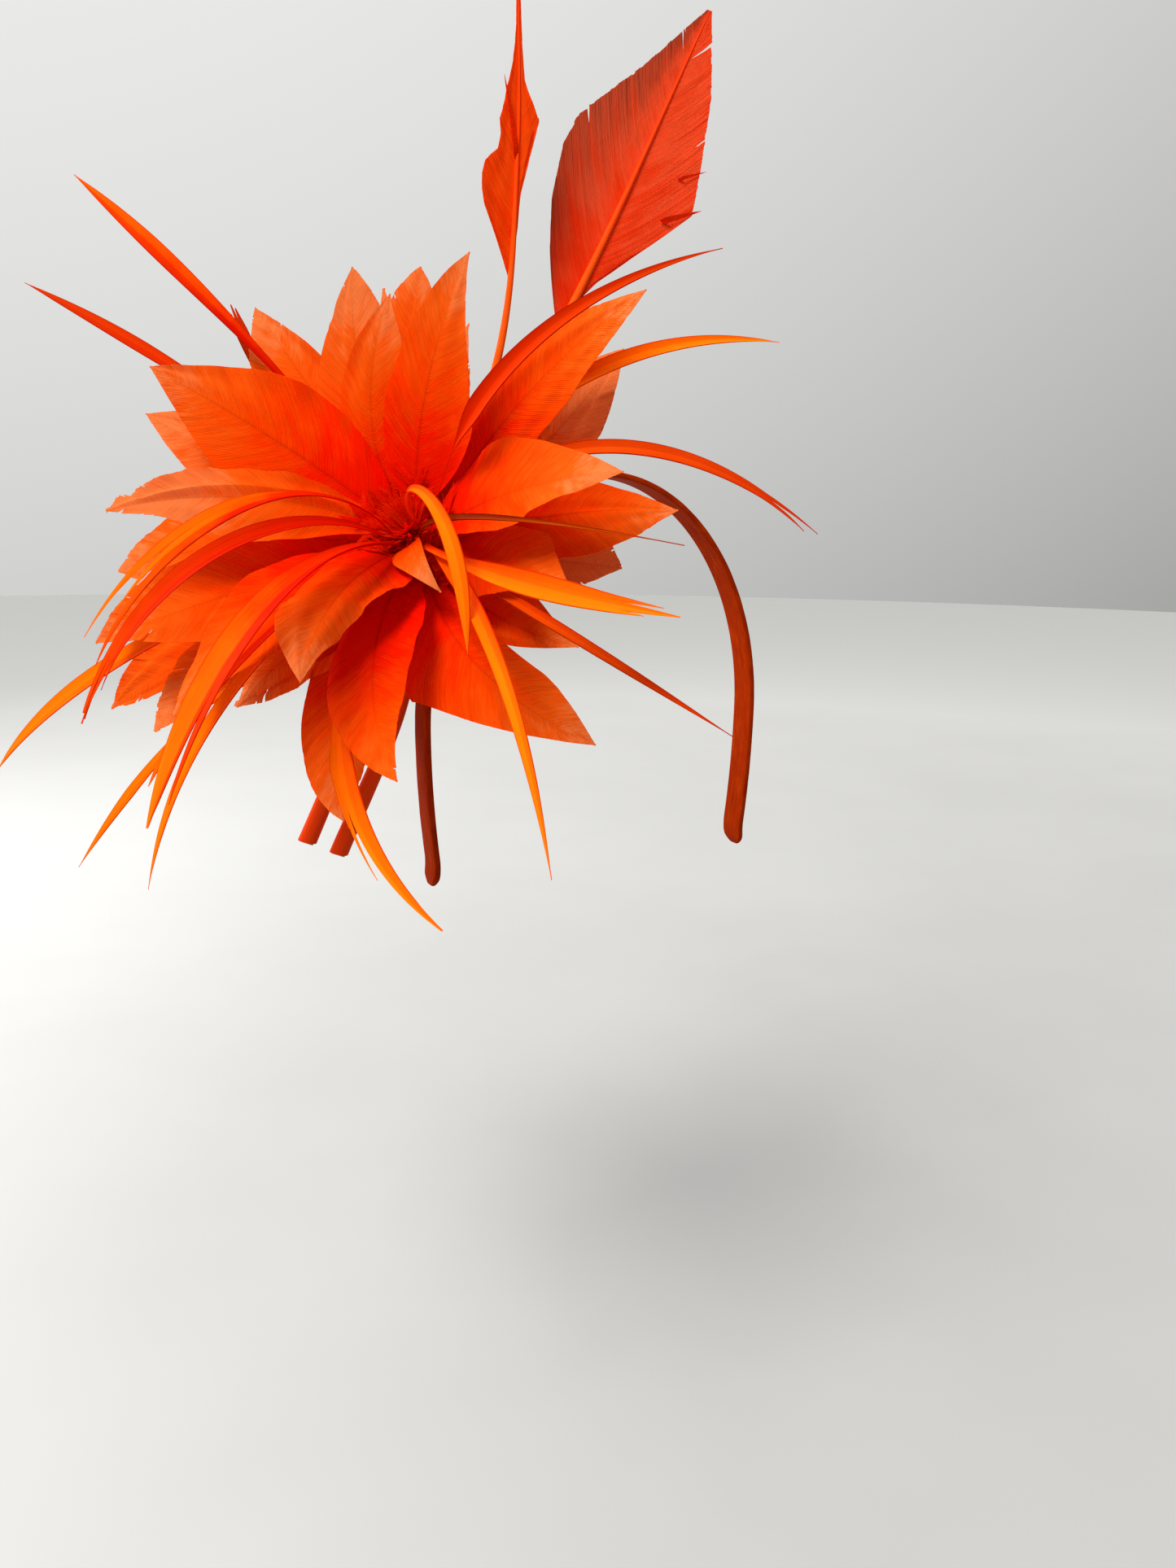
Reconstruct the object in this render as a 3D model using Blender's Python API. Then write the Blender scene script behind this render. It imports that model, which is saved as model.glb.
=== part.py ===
"""Quill fascinator: a flower of goose feathers with biots and two tall quills on a satin headband.

World frame: metres, +Z up, -Y to the wearer's front, -X to the wearer's right.
The origin is the middle of the headband's inner face, where it rests on the crown.
"""
import math
from collections import namedtuple

import bpy
from mathutils import Vector

MM = 0.001
GAP = 0.3  # clearance between pieces that touch, mm

# Headband, mm
BAND_HALF_WIDTH = 73.0  # inner half width at its widest
BAND_WIDEST_DEPTH = 95.0  # from the crown down to the widest place
BAND_HEIGHT = 157.0  # from the crown down to the ends
BAND_WIDTH = 13.0
BAND_THICKNESS = 2.7
BAND_INWARD = 4.5  # how far each leg comes in below the widest place
BAND_FLARE = 2.5  # how far each foot turns out again
BAND_FLARE_LENGTH = 12.0
BAND_EDGE = 0.8  # easing of its long edges
BAND_LEG_STEPS = 12
BAND_ARCH_STEPS = 24
BAND_LEG_CROWDING = 1.3  # 1 spaces a leg's rings evenly, more crowds them towards its foot
BAND_END_HALF_LENGTH = 1.2  # where the rounding of a foot is cut off

# Base that carries the feathers, mm
BASE_ANGLE = 46.0  # degrees along the arch from the crown to the wearer's right
DISC_RADIUS = 20.0
DISC_THICKNESS = 2.5
CORE_FOOT_RADIUS = 8.0
CORE_FOOT_FORWARD = 7.0  # the core stands this far in front of the band's middle
CORE_TOP_RADIUS = 4.6
CORE_SLOPE = 0.15  # growth of the core's radius for each mm down its axis
CORE_TOP = 3.0  # height of its top over the hub, along the flower's axis
CORE_STRAIGHT = 22.0  # how far below the hub it follows the flower's axis
DISC_EDGE = 0.5  # easing of the disc's lower edge
CORE_EDGE = 0.8  # easing of the core's top edge
CORE_STEP = 0.2  # how far the core's foot stands above the disc
CORE_BULGE = 0.8  # how far its bend stands out

# Flower: the hub is where the front feathers meet, and the axis is its facing direction
HUB = Vector((-84.5, -19.5, -21.0))
AXIS = Vector((-0.65, -0.64, 0.41)).normalized()
ACROSS = Vector((0.0, 0.0, 1.0)).cross(AXIS).normalized()  # azimuth 0, to the wearer's front
UPWARD = AXIS.cross(ACROSS)  # azimuth 90
FEATHER_THICKNESS = 1.0
STEM_HALF_WIDTH = 1.1
STEM_END = 0.02  # share of the length where the vane begins
TIP_HALF_WIDTH = 0.7
PETAL_CUP = 0.10  # rise of a petal's edges, as a share of its half width
PETAL_SINK = 0.3  # fall of its middle, as a share of that rise
CUP_FROM = 2.0  # half width in mm over which a petal is cupped
PETAL_STEPS = 10
BIOT_STEPS = 14
BIOT_START = 0.28  # share of a biot's width where it leaves the core
BIOT_WIDE_FROM = 0.30  # shares of the length between which it has its full width
BIOT_WIDE_TO = 0.45
BIOT_TAPER = 1.9  # 1 narrows straight to the tip, more is rounder
BIOT_TIP_HALF_WIDTH = 0.6

# One feather of the flower. height: of its root along the axis, mm from the hub.
# azimuth: degrees round the axis. lift: degrees that its chord rises from the flower's plane.
# curl and sway: degrees that it turns along its length, in lift and in azimuth. length: mm.
# ahead and behind: the half widths in mm on the sides of larger and smaller azimuth. _at: the share
# of the length where that side is widest. _taper: 1 narrows straight to the tip, more is rounder.
Petal = namedtuple("Petal", (
    "name height azimuth lift curl sway length "
    "ahead ahead_at ahead_taper behind behind_at behind_taper"
))
Biot = namedtuple("Biot", "name height azimuth lift curl sway length width")

PETALS = tuple(Petal(*row) for row in (
    ("front_petal_1", -1, 63.5, 37, 3, -44, 91, 15, 0.42, 2.0, 22, 0.42, 1.1),
    ("front_petal_2", -2, 0, 30, -15, -18, 96, 20, 0.40, 1.3, 12, 0.50, 1.3),
    ("front_petal_3", -2, 265, 35, -42, 31, 78, 18, 0.35, 1.6, 16, 0.68, 1.2),
    ("front_petal_4", -5, 155, 26, 9, 12, 102, 21, 0.60, 1.3, 22, 0.50, 1.7),
    ("front_petal_5", -3, 191, 31, -7, 46, 98, 16, 0.62, 1.1, 11, 0.66, 1.5),
    ("front_petal_6", -5, 239, 27, -22, 32, 101, 16, 0.48, 1.4, 17, 0.48, 1.5),
    ("front_petal_7", -6, 290, 27, -13, 48, 110, 17, 0.42, 1.3, 15, 0.55, 2.0),
    ("front_petal_8", -7, 93, 25, 5, -74, 82, 12, 0.60, 1.2, 13, 0.65, 2.2),
    ("middle_petal_1", -9, 38, 22, 3, -38, 111, 14.5, 0.48, 1.8, 15, 0.50, 2.2),
    ("middle_petal_2", -7, 338, 20, -10, -5, 72, 16, 0.68, 1.0, 13, 0.45, 0.8),
    ("middle_petal_3", -8, 209, 18, -10, 7, 110, 16, 0.65, 1.0, 19, 0.70, 1.7),
    ("middle_petal_4", -11, 106, 20, 8, -42, 95, 16, 0.62, 1.2, 14, 0.65, 3.0),
    ("middle_petal_5", -10, 319, 8, -40, 48, 106, 12, 0.72, 1.8, 24, 0.48, 0.8),
    ("middle_petal_6", -12, 161, 15, 0, 12, 109, 18, 0.65, 1.6, 14, 0.60, 1.6),
    ("middle_petal_7", -12, 4, 10, -6, -20, 90, 13, 0.50, 1.3, 17, 0.60, 1.6),
    ("middle_petal_8", -15, 271, 14, -18, 45, 103, 14, 0.50, 2.6, 15, 0.50, 3.4),
    ("middle_petal_9", -14, 79, 18, -2, -24, 72, 12, 0.50, 1.6, 11, 0.50, 1.6),
    ("middle_petal_10", -12, 234, 14, -16, 8, 80, 18, 0.55, 1.6, 16, 0.50, 1.6),
    ("back_petal_1", -16, 95, 14, 4, -24, 95, 12, 0.75, 3.0, 10, 0.70, 2.6),
    ("back_petal_2", -17.5, 132, 9, 0, -3, 114, 16, 0.70, 2.2, 11, 0.65, 1.6),
    ("back_petal_3", -17, 189, 7, 0, 31, 115, 14, 0.70, 2.5, 19, 0.75, 1.8),
    ("back_petal_4", -19, 210, 2, 0, 20, 129, 10, 0.65, 1.5, 18, 0.75, 1.6),
    ("back_petal_5", -17, 222, 8, 0, 23, 111, 12, 0.60, 1.6, 16, 0.70, 2.4),
    ("back_petal_6", -17, 332, 13, -10, 34, 72, 12, 0.65, 1.2, 12, 0.45, 0.9),
    ("back_petal_7", -18, 354, 8, -5, -5, 68, 15, 0.65, 2.4, 14, 0.60, 1.3),
    ("back_petal_8", -16, 46, 10, 0, 16, 90, 9, 0.78, 2.2, 18, 0.60, 1.2),
    ("back_petal_9", -19, 107, 8, 0, -12, 97, 7, 0.60, 1.5, 7, 0.60, 1.5),
))

CENTRE_PETAL = Petal("centre_petal", 1.5, 310, 24, -95, 2, 36, 3.3, 0.39, 1.2, 8.6, 0.44, 1.1)

BIOTS = tuple(Biot(*row) for row in (
    ("biot_1", -1.5, 243, 42, -88, 38, 148.5, 7.5),
    ("biot_2", 3.5, 247, 51, -93, 26, 147.5, 7.5),
    ("biot_3", -13, 211, 1, -62, 6, 189, 7),
    ("biot_4", 1, 269, 41, -66, 6, 165, 11),
    ("biot_5", -3.5, 249, 29, -34, 28, 126, 6.5),
    ("biot_6", -9, 246.5, 12, -38, 43, 150, 5),
    ("biot_7", -15, 230.5, 4.5, -16, 26, 163, 4),
    ("biot_8", -11.5, 292, 20, -28, 78, 165, 10),
    ("biot_9", -7, 26, 32, -53.5, -39.5, 151, 7.5),
    ("biot_10", -14, 25, 10.5, -19, -72.5, 143.5, 6),
    ("biot_11", -7, 352, 21, -39, -70, 165, 5),
    ("biot_12", 2, 341.5, 35.5, -54.5, 11, 154.5, 2.6),
    ("biot_13", 1.5, 319, 27, -135, -112, 112, 5),
    ("biot_14", -4, 308, 27.5, -43, -37, 174, 5),
    ("biot_15", -1, 337, 27, -49.5, 29.5, 138.5, 8),
    ("biot_16", -10, 330, 19, -10.5, 0, 149, 3.5),
    ("biot_17", -15.5, 152, 9, -8, 10, 196, 5),
    ("biot_18", -15, 139.5, 13, -6.5, 10.5, 197, 6),
    ("biot_19", -20, 134, 10, 6, -33.5, 124, 5),
))

# Route of a quill's shaft in mm, from the cut end to the tip
RoutePoint = namedtuple("RoutePoint", "x y z")
# Outline of a quill's vane. along: share of the shaft's length. left and right: mm from it
VaneSection = namedtuple("VaneSection", "along left right")

BROAD_ROUTE = tuple(RoutePoint(*row) for row in (
    (-116.0, 16.0, -138.0),
    (-70.9, 10.4, -40.5),
    (-7.5, 8.0, 65.0),
    (46.0, 2.0, 172.0),
))
BROAD_VANE = tuple(VaneSection(*row) for row in (
    (0.62, 0.0, 0.0),
    (0.65, 7.0, 0.0),
    (0.69, 16.0, 4.6),
    (0.74, 24.0, 14.0),
    (0.80, 29.0, 26.0),
    (0.835, 28.0, 23.0),
    (0.87, 21.5, 19.5),
    (0.92, 12.5, 14.0),
    (0.965, 6.2, 6.5),
    (1.0, 1.0, 0.8),
))
SLIM_ROUTE = tuple(RoutePoint(*row) for row in (
    (-105.0, 12.0, -143.0),
    (-81.0, 8.0, -88.0),
    (-71.4, 4.0, -40.5),
    (-41.0, 3.0, 43.0),
    (-34.7, 0.0, 111.0),
    (-35.3, -2.0, 172.0),
))
SLIM_VANE = tuple(VaneSection(*row) for row in (
    (0.66, 0.0, 0.0),
    (0.70, 3.5, 1.0),
    (0.745, 9.5, 1.5),
    (0.78, 12.5, 2.0),
    (0.81, 8.6, 4.0),
    (0.845, 6.8, 7.6),
    (0.87, 5.5, 3.4),
    (0.89, 4.7, 1.7),
    (0.91, 1.6, 1.5),
    (1.0, 0.8, 0.8),
))
BROAD_SHAFT_RADIUS = (3.2, 0.8)  # at the cut end and at the tip
SLIM_SHAFT_RADIUS = (3.2, 0.7)
BROAD_DISH = 0.06  # rise of the vane's edges, as a share of its width
SLIM_DISH = 0.1
BARE_STEPS = 9  # rings along a shaft below its vane
ROUTE_STEPS = 200
ROUTE_SPAN_STEPS = 24  # points between two of a route's own points
VANE_HALF_THICKNESS = 0.5
SHAFT_FLAT = 0.7  # where the shaft's sides meet the vane, as a share of its radius
QUILL_FACING = Vector((-0.35, -1.0, 0.1)).normalized()  # the side of the vanes that shows

TUFT_RADIUS = 3.6
TUFT_HEIGHT = 7.0
TUFT_LOBES = 5
TUFT_SWELL = 0.22  # how far each lobe stands out, as a share of the radius
# Outline of the tuft. share: of its height. wide: share of its radius
TuftSection = namedtuple("TuftSection", "share wide")
TUFT_OUTLINE = tuple(TuftSection(*row) for row in (
    (0.0, 0.55),
    (0.25, 1.0),
    (0.6, 0.8),
    (1.0, 0.25),
))

FEATHER_ORANGE = (0.95, 0.13, 0.02, 1.0)
BIOT_ORANGE = (0.90, 0.16, 0.02, 1.0)
QUILL_CORAL = (0.90, 0.09, 0.03, 1.0)
TUFT_RED = (0.80, 0.03, 0.01, 1.0)
SATIN_RUST = (0.36, 0.06, 0.02, 1.0)
FELT_ORANGE = (0.70, 0.10, 0.02, 1.0)


def clear_scene():
    for old in list(bpy.data.objects):
        bpy.data.objects.remove(old, do_unlink=True)


def material(name, colour, roughness):
    mat = bpy.data.materials.new(name)
    mat.use_nodes = True
    shader = mat.node_tree.nodes["Principled BSDF"]
    shader.inputs["Base Color"].default_value = colour
    shader.inputs["Roughness"].default_value = roughness
    shader.inputs["Metallic"].default_value = 0.0
    return mat


def solid_from_rings(name, rings, mat, crease=40.0):
    """A closed body through rings of equal point counts, with a flat cap on each end."""
    count = len(rings[0])
    points = [Vector(p) * MM for ring in rings for p in ring]
    faces = [tuple(reversed(range(count)))]
    for r in range(len(rings) - 1):
        for k in range(count):
            a = r * count + k
            b = r * count + (k + 1) % count
            faces.append((a, b, b + count, a + count))
    last = (len(rings) - 1) * count
    faces.append(tuple(range(last, last + count)))
    mesh = bpy.data.meshes.new(name)
    mesh.from_pydata(points, [], faces)
    mesh.materials.append(mat)
    mesh.shade_smooth()
    mesh.set_sharp_from_angle(angle=math.radians(crease))
    obj = bpy.data.objects.new(name, mesh)
    bpy.context.collection.objects.link(obj)
    return obj


def smooth(x):
    x = min(max(x, 0.0), 1.0)
    return x * x * (3.0 - 2.0 * x)


def arch_point(angle):
    """Inner face and outward normal of the arch, at an angle from the crown, + to the wearer's left."""
    a = math.radians(angle)
    place = Vector((BAND_HALF_WIDTH * math.sin(a), 0.0, -BAND_WIDEST_DEPTH * (1.0 - math.cos(a))))
    normal = Vector((math.sin(a) / BAND_HALF_WIDTH, 0.0, math.cos(a) / BAND_WIDEST_DEPTH)).normalized()
    return place, normal


def leg_point(depth):
    """Inner face of the wearer's left leg at a depth below the crown."""
    share = (depth - BAND_WIDEST_DEPTH) / (BAND_HEIGHT - BAND_WIDEST_DEPTH)
    foot = max(0.0, (depth - (BAND_HEIGHT - BAND_FLARE_LENGTH)) / BAND_FLARE_LENGTH)
    return Vector((BAND_HALF_WIDTH - BAND_INWARD * share * share + BAND_FLARE * foot * foot, 0.0, -depth))


def band_path():
    """Inner face points with outward normals, from the wearer's right foot to the left one."""
    right_leg = []
    for i in range(BAND_LEG_STEPS):
        share = (i / BAND_LEG_STEPS) ** BAND_LEG_CROWDING
        depth = BAND_HEIGHT - (BAND_HEIGHT - BAND_WIDEST_DEPTH) * share
        ahead = leg_point(depth + 0.5)
        behind = leg_point(depth - 0.5)
        along = (behind - ahead).normalized()
        normal = Vector((along.z, 0.0, -along.x))
        place = leg_point(depth)
        right_leg.append((Vector((-place.x, 0.0, place.z)), Vector((-normal.x, 0.0, normal.z))))
    arch = [arch_point(180.0 * i / BAND_ARCH_STEPS - 90.0) for i in range(BAND_ARCH_STEPS + 1)]
    left_leg = [
        (Vector((-p.x, 0.0, p.z)), Vector((-n.x, 0.0, n.z)))
        for p, n in reversed(right_leg)
    ]
    return right_leg + arch + left_leg


def headband(mat):
    """A padded satin strip bent to an arch, with rounded feet and eased edges."""
    path = band_path()
    run = [0.0]
    for (p, _), (q, _) in zip(path, path[1:]):
        run.append(run[-1] + (q - p).length)
    half = BAND_WIDTH / 2
    ease = BAND_EDGE
    rings = []
    for (place, normal), s in zip(path, run):
        from_end = min(s, run[-1] - s) + BAND_END_HALF_LENGTH
        wide = half
        if from_end < half:
            wide = math.sqrt(half * half - (half - from_end) ** 2)
        section = (
            (-wide, ease), (-wide, BAND_THICKNESS - ease), (-wide + ease, BAND_THICKNESS),
            (wide - ease, BAND_THICKNESS), (wide, BAND_THICKNESS - ease), (wide, ease),
            (wide - ease, 0.0), (-wide + ease, 0.0),
        )
        rings.append([place + Vector((0.0, y, 0.0)) + normal * out for y, out in reversed(section)])
    return solid_from_rings("headband", rings, mat)


def core_radius(height):
    return CORE_TOP_RADIUS + CORE_SLOPE * (CORE_TOP - height)


def ring_about(centre, axis, radius, count=16, start=Vector((0.0, 1.0, 0.0))):
    """Points of a circle, counter-clockwise seen from the axis's tip."""
    first = (start - axis * start.dot(axis)).normalized()
    second = axis.cross(first)
    return [
        centre + (first * math.cos(a) + second * math.sin(a)) * radius
        for a in (2 * math.pi * k / count for k in range(count))
    ]


def feather_base(mat):
    """The felt disc on the band and the wrapped core that turns forward from it, as one solid."""
    inner, normal = arch_point(-BASE_ANGLE)
    bottom = inner + normal * (BAND_THICKNESS + GAP)
    top = bottom + normal * DISC_THICKNESS
    straight = HUB - AXIS * CORE_STRAIGHT
    foot = top + normal * CORE_STEP - Vector((0.0, CORE_FOOT_FORWARD, 0.0))
    turn = (normal + AXIS).normalized()
    rings = [
        ring_about(bottom, normal, DISC_RADIUS - DISC_EDGE),
        ring_about(bottom + normal * DISC_EDGE, normal, DISC_RADIUS),
        ring_about(top, normal, DISC_RADIUS),
        ring_about(foot, normal, CORE_FOOT_RADIUS),
        ring_about(foot.lerp(straight, 0.5) + normal * CORE_BULGE, turn, CORE_FOOT_RADIUS),
        ring_about(straight, AXIS, core_radius(-CORE_STRAIGHT)),
        ring_about(HUB + AXIS * (CORE_TOP - CORE_EDGE), AXIS, CORE_TOP_RADIUS),
        ring_about(HUB + AXIS * CORE_TOP, AXIS, CORE_TOP_RADIUS - CORE_EDGE),
    ]
    return solid_from_rings("feather_base", rings, mat)


def centre_tuft(mat):
    """The short lobed tuft of barbs at the middle of the flower."""
    rings = []
    for section in TUFT_OUTLINE:
        centre = HUB + AXIS * (CORE_TOP + GAP + section.share * TUFT_HEIGHT)
        ring = ring_about(centre, AXIS, 1.0, 20)
        lobed = []
        for k, p in enumerate(ring):
            swell = 1.0 + TUFT_SWELL * math.cos(TUFT_LOBES * 2 * math.pi * k / len(ring))
            lobed.append(centre + (p - centre) * TUFT_RADIUS * section.wide * swell)
        rings.append(lobed)
    return solid_from_rings("centre_tuft", rings, mat)


def feather_frames(feather, steps):
    """Points along a feather's middle, each with its side and face directions."""
    start = math.radians(feather.azimuth - feather.sway / 2)
    radius = core_radius(feather.height) + GAP + FEATHER_THICKNESS * 0.5
    place = HUB + AXIS * feather.height + (ACROSS * math.cos(start) + UPWARD * math.sin(start)) * radius
    fine = 4
    frames = []
    for i in range(steps * fine + 1):
        s = i / (steps * fine) - 0.5
        azimuth = math.radians(feather.azimuth + feather.sway * s)
        lift = math.radians(feather.lift + feather.curl * s)
        outward = ACROSS * math.cos(azimuth) + UPWARD * math.sin(azimuth)
        round_axis = UPWARD * math.cos(azimuth) - ACROSS * math.sin(azimuth)
        along = outward * math.cos(lift) + AXIS * math.sin(lift)
        face = AXIS * math.cos(lift) - outward * math.sin(lift)
        if i % fine == 0:
            frames.append((place.copy(), round_axis, face))
        place += along * (feather.length / (steps * fine))
    return frames


def vane_half_width(s, width, widest, taper):
    """One side of a petal: from a narrow stem out to its widest place, then in to a pointed tip."""
    if s < widest:
        x = max(0.0, (s - STEM_END) / (widest - STEM_END))
        rise = (smooth(x) + x * (2.0 - x)) / 2
        return STEM_HALF_WIDTH + (width - STEM_HALF_WIDTH) * rise
    u = (s - widest) / (1.0 - widest)
    return max(TIP_HALF_WIDTH, width * (1.0 - u ** taper))


def petal(feather, mat):
    """A thin curved vane whose edges rise towards the flower's front."""
    across = (-1.0, -0.5, 0.0, 0.5, 1.0)
    rings = []
    for i, (place, side, face) in enumerate(feather_frames(feather, PETAL_STEPS)):
        s = i / PETAL_STEPS
        ahead = vane_half_width(s, feather.ahead, feather.ahead_at, feather.ahead_taper)
        behind = vane_half_width(s, feather.behind, feather.behind_at, feather.behind_taper)
        dish = max(0.0, (ahead + behind) / 2 - CUP_FROM) * PETAL_CUP
        skin = [(x * (ahead if x > 0 else behind), dish * (x * x - PETAL_SINK)) for x in across]
        lower = [place + side * x + face * (h - FEATHER_THICKNESS / 2) for x, h in skin]
        upper = [place + side * x + face * (h + FEATHER_THICKNESS / 2) for x, h in reversed(skin)]
        rings.append(lower + upper)
    return solid_from_rings(feather.name, rings, mat)


def biot(feather, mat):
    """A long narrow blade that swells from its foot and tapers to a fine tip."""
    rings = []
    for i, (place, side, face) in enumerate(feather_frames(feather, BIOT_STEPS)):
        s = i / BIOT_STEPS
        swell = BIOT_START + (1.0 - BIOT_START) * smooth(s / BIOT_WIDE_FROM)
        taper = 1.0 - max(0.0, (s - BIOT_WIDE_TO) / (1.0 - BIOT_WIDE_TO)) ** BIOT_TAPER
        half = max(BIOT_TIP_HALF_WIDTH, feather.width / 2 * swell * taper)
        thick = FEATHER_THICKNESS / 2
        corners = ((-half, -thick), (half, -thick), (half, thick), (-half, thick))
        rings.append([place + side * x + face * h for x, h in corners])
    return solid_from_rings(feather.name, rings, mat)


def smooth_route(route, steps):
    """Points at even shares of a smooth curve through the route's points."""
    knots = [Vector(p) for p in route]
    knots = [knots[0] * 2 - knots[1]] + knots + [knots[-1] * 2 - knots[-2]]
    dense = []
    for i in range(1, len(knots) - 2):
        p0, p1, p2, p3 = knots[i - 1:i + 3]
        for k in range(ROUTE_SPAN_STEPS):
            t = k / ROUTE_SPAN_STEPS
            dense.append(0.5 * (
                2 * p1 + (p2 - p0) * t + (2 * p0 - 5 * p1 + 4 * p2 - p3) * t * t
                + (3 * p1 - p0 - 3 * p2 + p3) * t ** 3
            ))
    dense.append(knots[-2])
    run = [0.0]
    for p, q in zip(dense, dense[1:]):
        run.append(run[-1] + (q - p).length)
    shares = []
    j = 0
    for i in range(steps + 1):
        want = run[-1] * i / steps
        while j < len(run) - 2 and run[j + 1] < want:
            j += 1
        t = (want - run[j]) / (run[j + 1] - run[j])
        shares.append(dense[j].lerp(dense[j + 1], t))
    return shares


def vane_widths(table, s):
    """Left and right widths at a share of the length, read straight between the table's rows."""
    for low, high in zip(table, table[1:]):
        if low.along <= s <= high.along:
            t = (s - low.along) / (high.along - low.along)
            return low.left + (high.left - low.left) * t, low.right + (high.right - low.right) * t
    return 0.0, 0.0


def quill(name, route, table, radii, mat, dish):
    """A tapering shaft with a vane on each side near its tip, lofted as one solid."""
    points = smooth_route(route, ROUTE_STEPS)
    shares = [table[0].along * i / BARE_STEPS for i in range(BARE_STEPS)] + [row.along for row in table]
    rings = []
    for s in shares:
        i = round(s * ROUTE_STEPS)
        place = points[i]
        along = (points[min(i + 1, ROUTE_STEPS)] - points[max(i - 1, 0)]).normalized()
        side = along.cross(QUILL_FACING).normalized()
        face = side.cross(along)
        radius = radii[0] + (radii[1] - radii[0]) * s
        left, right = vane_widths(table, s)
        left = max(left, radius)
        right = max(right, radius)
        thick = min(VANE_HALF_THICKNESS, radius / 2)
        flat = SHAFT_FLAT * radius
        ring = (
            (-left, -thick + dish * left), (-flat, -flat), (0.0, -radius),
            (flat, -flat), (right, -thick + dish * right),
            (right, thick + dish * right), (flat, flat), (0.0, radius),
            (-flat, flat), (-left, thick + dish * left),
        )
        rings.append([place + side * x + face * h for x, h in reversed(ring)])
    return solid_from_rings(name, rings, mat)


def main():
    clear_scene()
    satin = material("satin_rust", SATIN_RUST, 0.4)
    felt = material("felt_orange", FELT_ORANGE, 0.9)
    vane = material("feather_orange", FEATHER_ORANGE, 0.55)
    blade = material("biot_orange", BIOT_ORANGE, 0.45)
    coral = material("quill_coral", QUILL_CORAL, 0.5)
    red = material("tuft_red", TUFT_RED, 0.7)
    headband(satin)
    feather_base(felt)
    centre_tuft(red)
    for feather in PETALS + (CENTRE_PETAL,):
        petal(feather, vane)
    for feather in BIOTS:
        biot(feather, blade)
    quill("broad_quill", BROAD_ROUTE, BROAD_VANE, BROAD_SHAFT_RADIUS, coral, BROAD_DISH)
    quill("slim_quill", SLIM_ROUTE, SLIM_VANE, SLIM_SHAFT_RADIUS, coral, SLIM_DISH)


main()
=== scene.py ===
"""Looks of the quill fascinator: goose feather petals, biots, two tall quills, a satin band and a felt base.

Shapes are worked out in millimetres in the part's frame, -Y to the wearer's front, -X to the
wearer's right and +Z up, and scaled to metres when a mesh is made.
"""
import math
from collections import namedtuple

import bpy
import numpy as np
from mathutils import Matrix


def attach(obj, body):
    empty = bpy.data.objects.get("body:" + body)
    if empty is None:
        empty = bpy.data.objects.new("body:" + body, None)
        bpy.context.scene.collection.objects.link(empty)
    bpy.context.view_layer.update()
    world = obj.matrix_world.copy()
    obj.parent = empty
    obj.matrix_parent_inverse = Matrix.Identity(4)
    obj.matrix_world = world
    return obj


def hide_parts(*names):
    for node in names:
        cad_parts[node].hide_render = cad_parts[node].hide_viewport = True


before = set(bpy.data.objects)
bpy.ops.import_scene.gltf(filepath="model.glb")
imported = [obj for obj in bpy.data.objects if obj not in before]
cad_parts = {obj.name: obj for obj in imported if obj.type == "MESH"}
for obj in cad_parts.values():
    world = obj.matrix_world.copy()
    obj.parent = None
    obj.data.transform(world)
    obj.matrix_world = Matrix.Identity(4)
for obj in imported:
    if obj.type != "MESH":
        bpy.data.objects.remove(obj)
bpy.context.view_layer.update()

MM = 0.001
SHARP_ANGLE = 50.0  # degrees between faces from which an edge stays sharp

# Camera, in metres and degrees
IMAGE_LONG_SIDE = 1927  # pixels, of a 1445 x 1927 frame
FOCAL_PIXELS = 1450.0
SENSOR = 36.0
CAMERA_PLACE = (-0.226, -0.420, -0.013)
CAMERA_AZIMUTH = -28.0
CAMERA_ELEVATION = 13.0
CAMERA_ROLL = 0.8
FLOOR_HEIGHT = -0.45
FLOOR_RADIUS = 6.0
FLOOR_SIDES = 96
LIGHT_TARGET = (-0.08, 0.0, 0.0)
BRIGHT_SIDE = (-0.10, 0.65, 0.75)  # direction of the brightest part of the surround
SURROUND_DARK = (0.20, 0.20, 0.20, 1.0)
SURROUND_BRIGHT = (0.93, 0.93, 0.91, 1.0)

# Headband, mm
BAND_HALF_WIDTH = 73.0  # inner half width at its widest
BAND_WIDEST_DEPTH = 95.0
BAND_HEIGHT = 157.0
BAND_WIDTH = 13.0
BAND_THICKNESS = 2.7
BAND_INWARD = 4.5
BAND_FLARE = 2.5
BAND_FLARE_LENGTH = 12.0
BAND_MIDDLE = (0.0, 0.0, -80.0)  # a point that the arch runs round

# Felt disc and wrapped core, mm
BASE_ANGLE = 46.0
DISC_RADIUS = 20.0
DISC_THICKNESS = 2.5
CORE_FOOT_RADIUS = 8.0
CORE_FOOT_FORWARD = 7.0
CORE_TOP_RADIUS = 4.6
CORE_SLOPE = 0.15
CORE_TOP = 3.0
CORE_STRAIGHT = 22.0
GAP = 0.3


def table(kind, rows):
    return tuple(kind(*row) for row in rows)


def unit(v):
    v = np.asarray(v, float)
    return v / np.linalg.norm(v, axis=-1, keepdims=True)


# Flower: the hub is where the front feathers meet, and the axis is its facing direction
HUB = np.array((-84.5, -19.5, -21.0))
AXIS = unit((-0.65, -0.64, 0.41))
ACROSS = unit(np.cross((0.0, 0.0, 1.0), AXIS))  # azimuth 0, to the wearer's front
UPWARD = np.cross(AXIS, ACROSS)  # azimuth 90
QUILL_FACING = unit((-0.35, -1.0, 0.1))
FEATHER_THICKNESS = 1.0
STEM_HALF_WIDTH = 1.1
STEM_END = 0.02
TIP_HALF_WIDTH = 0.3
PETAL_CUP = 0.10

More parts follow.
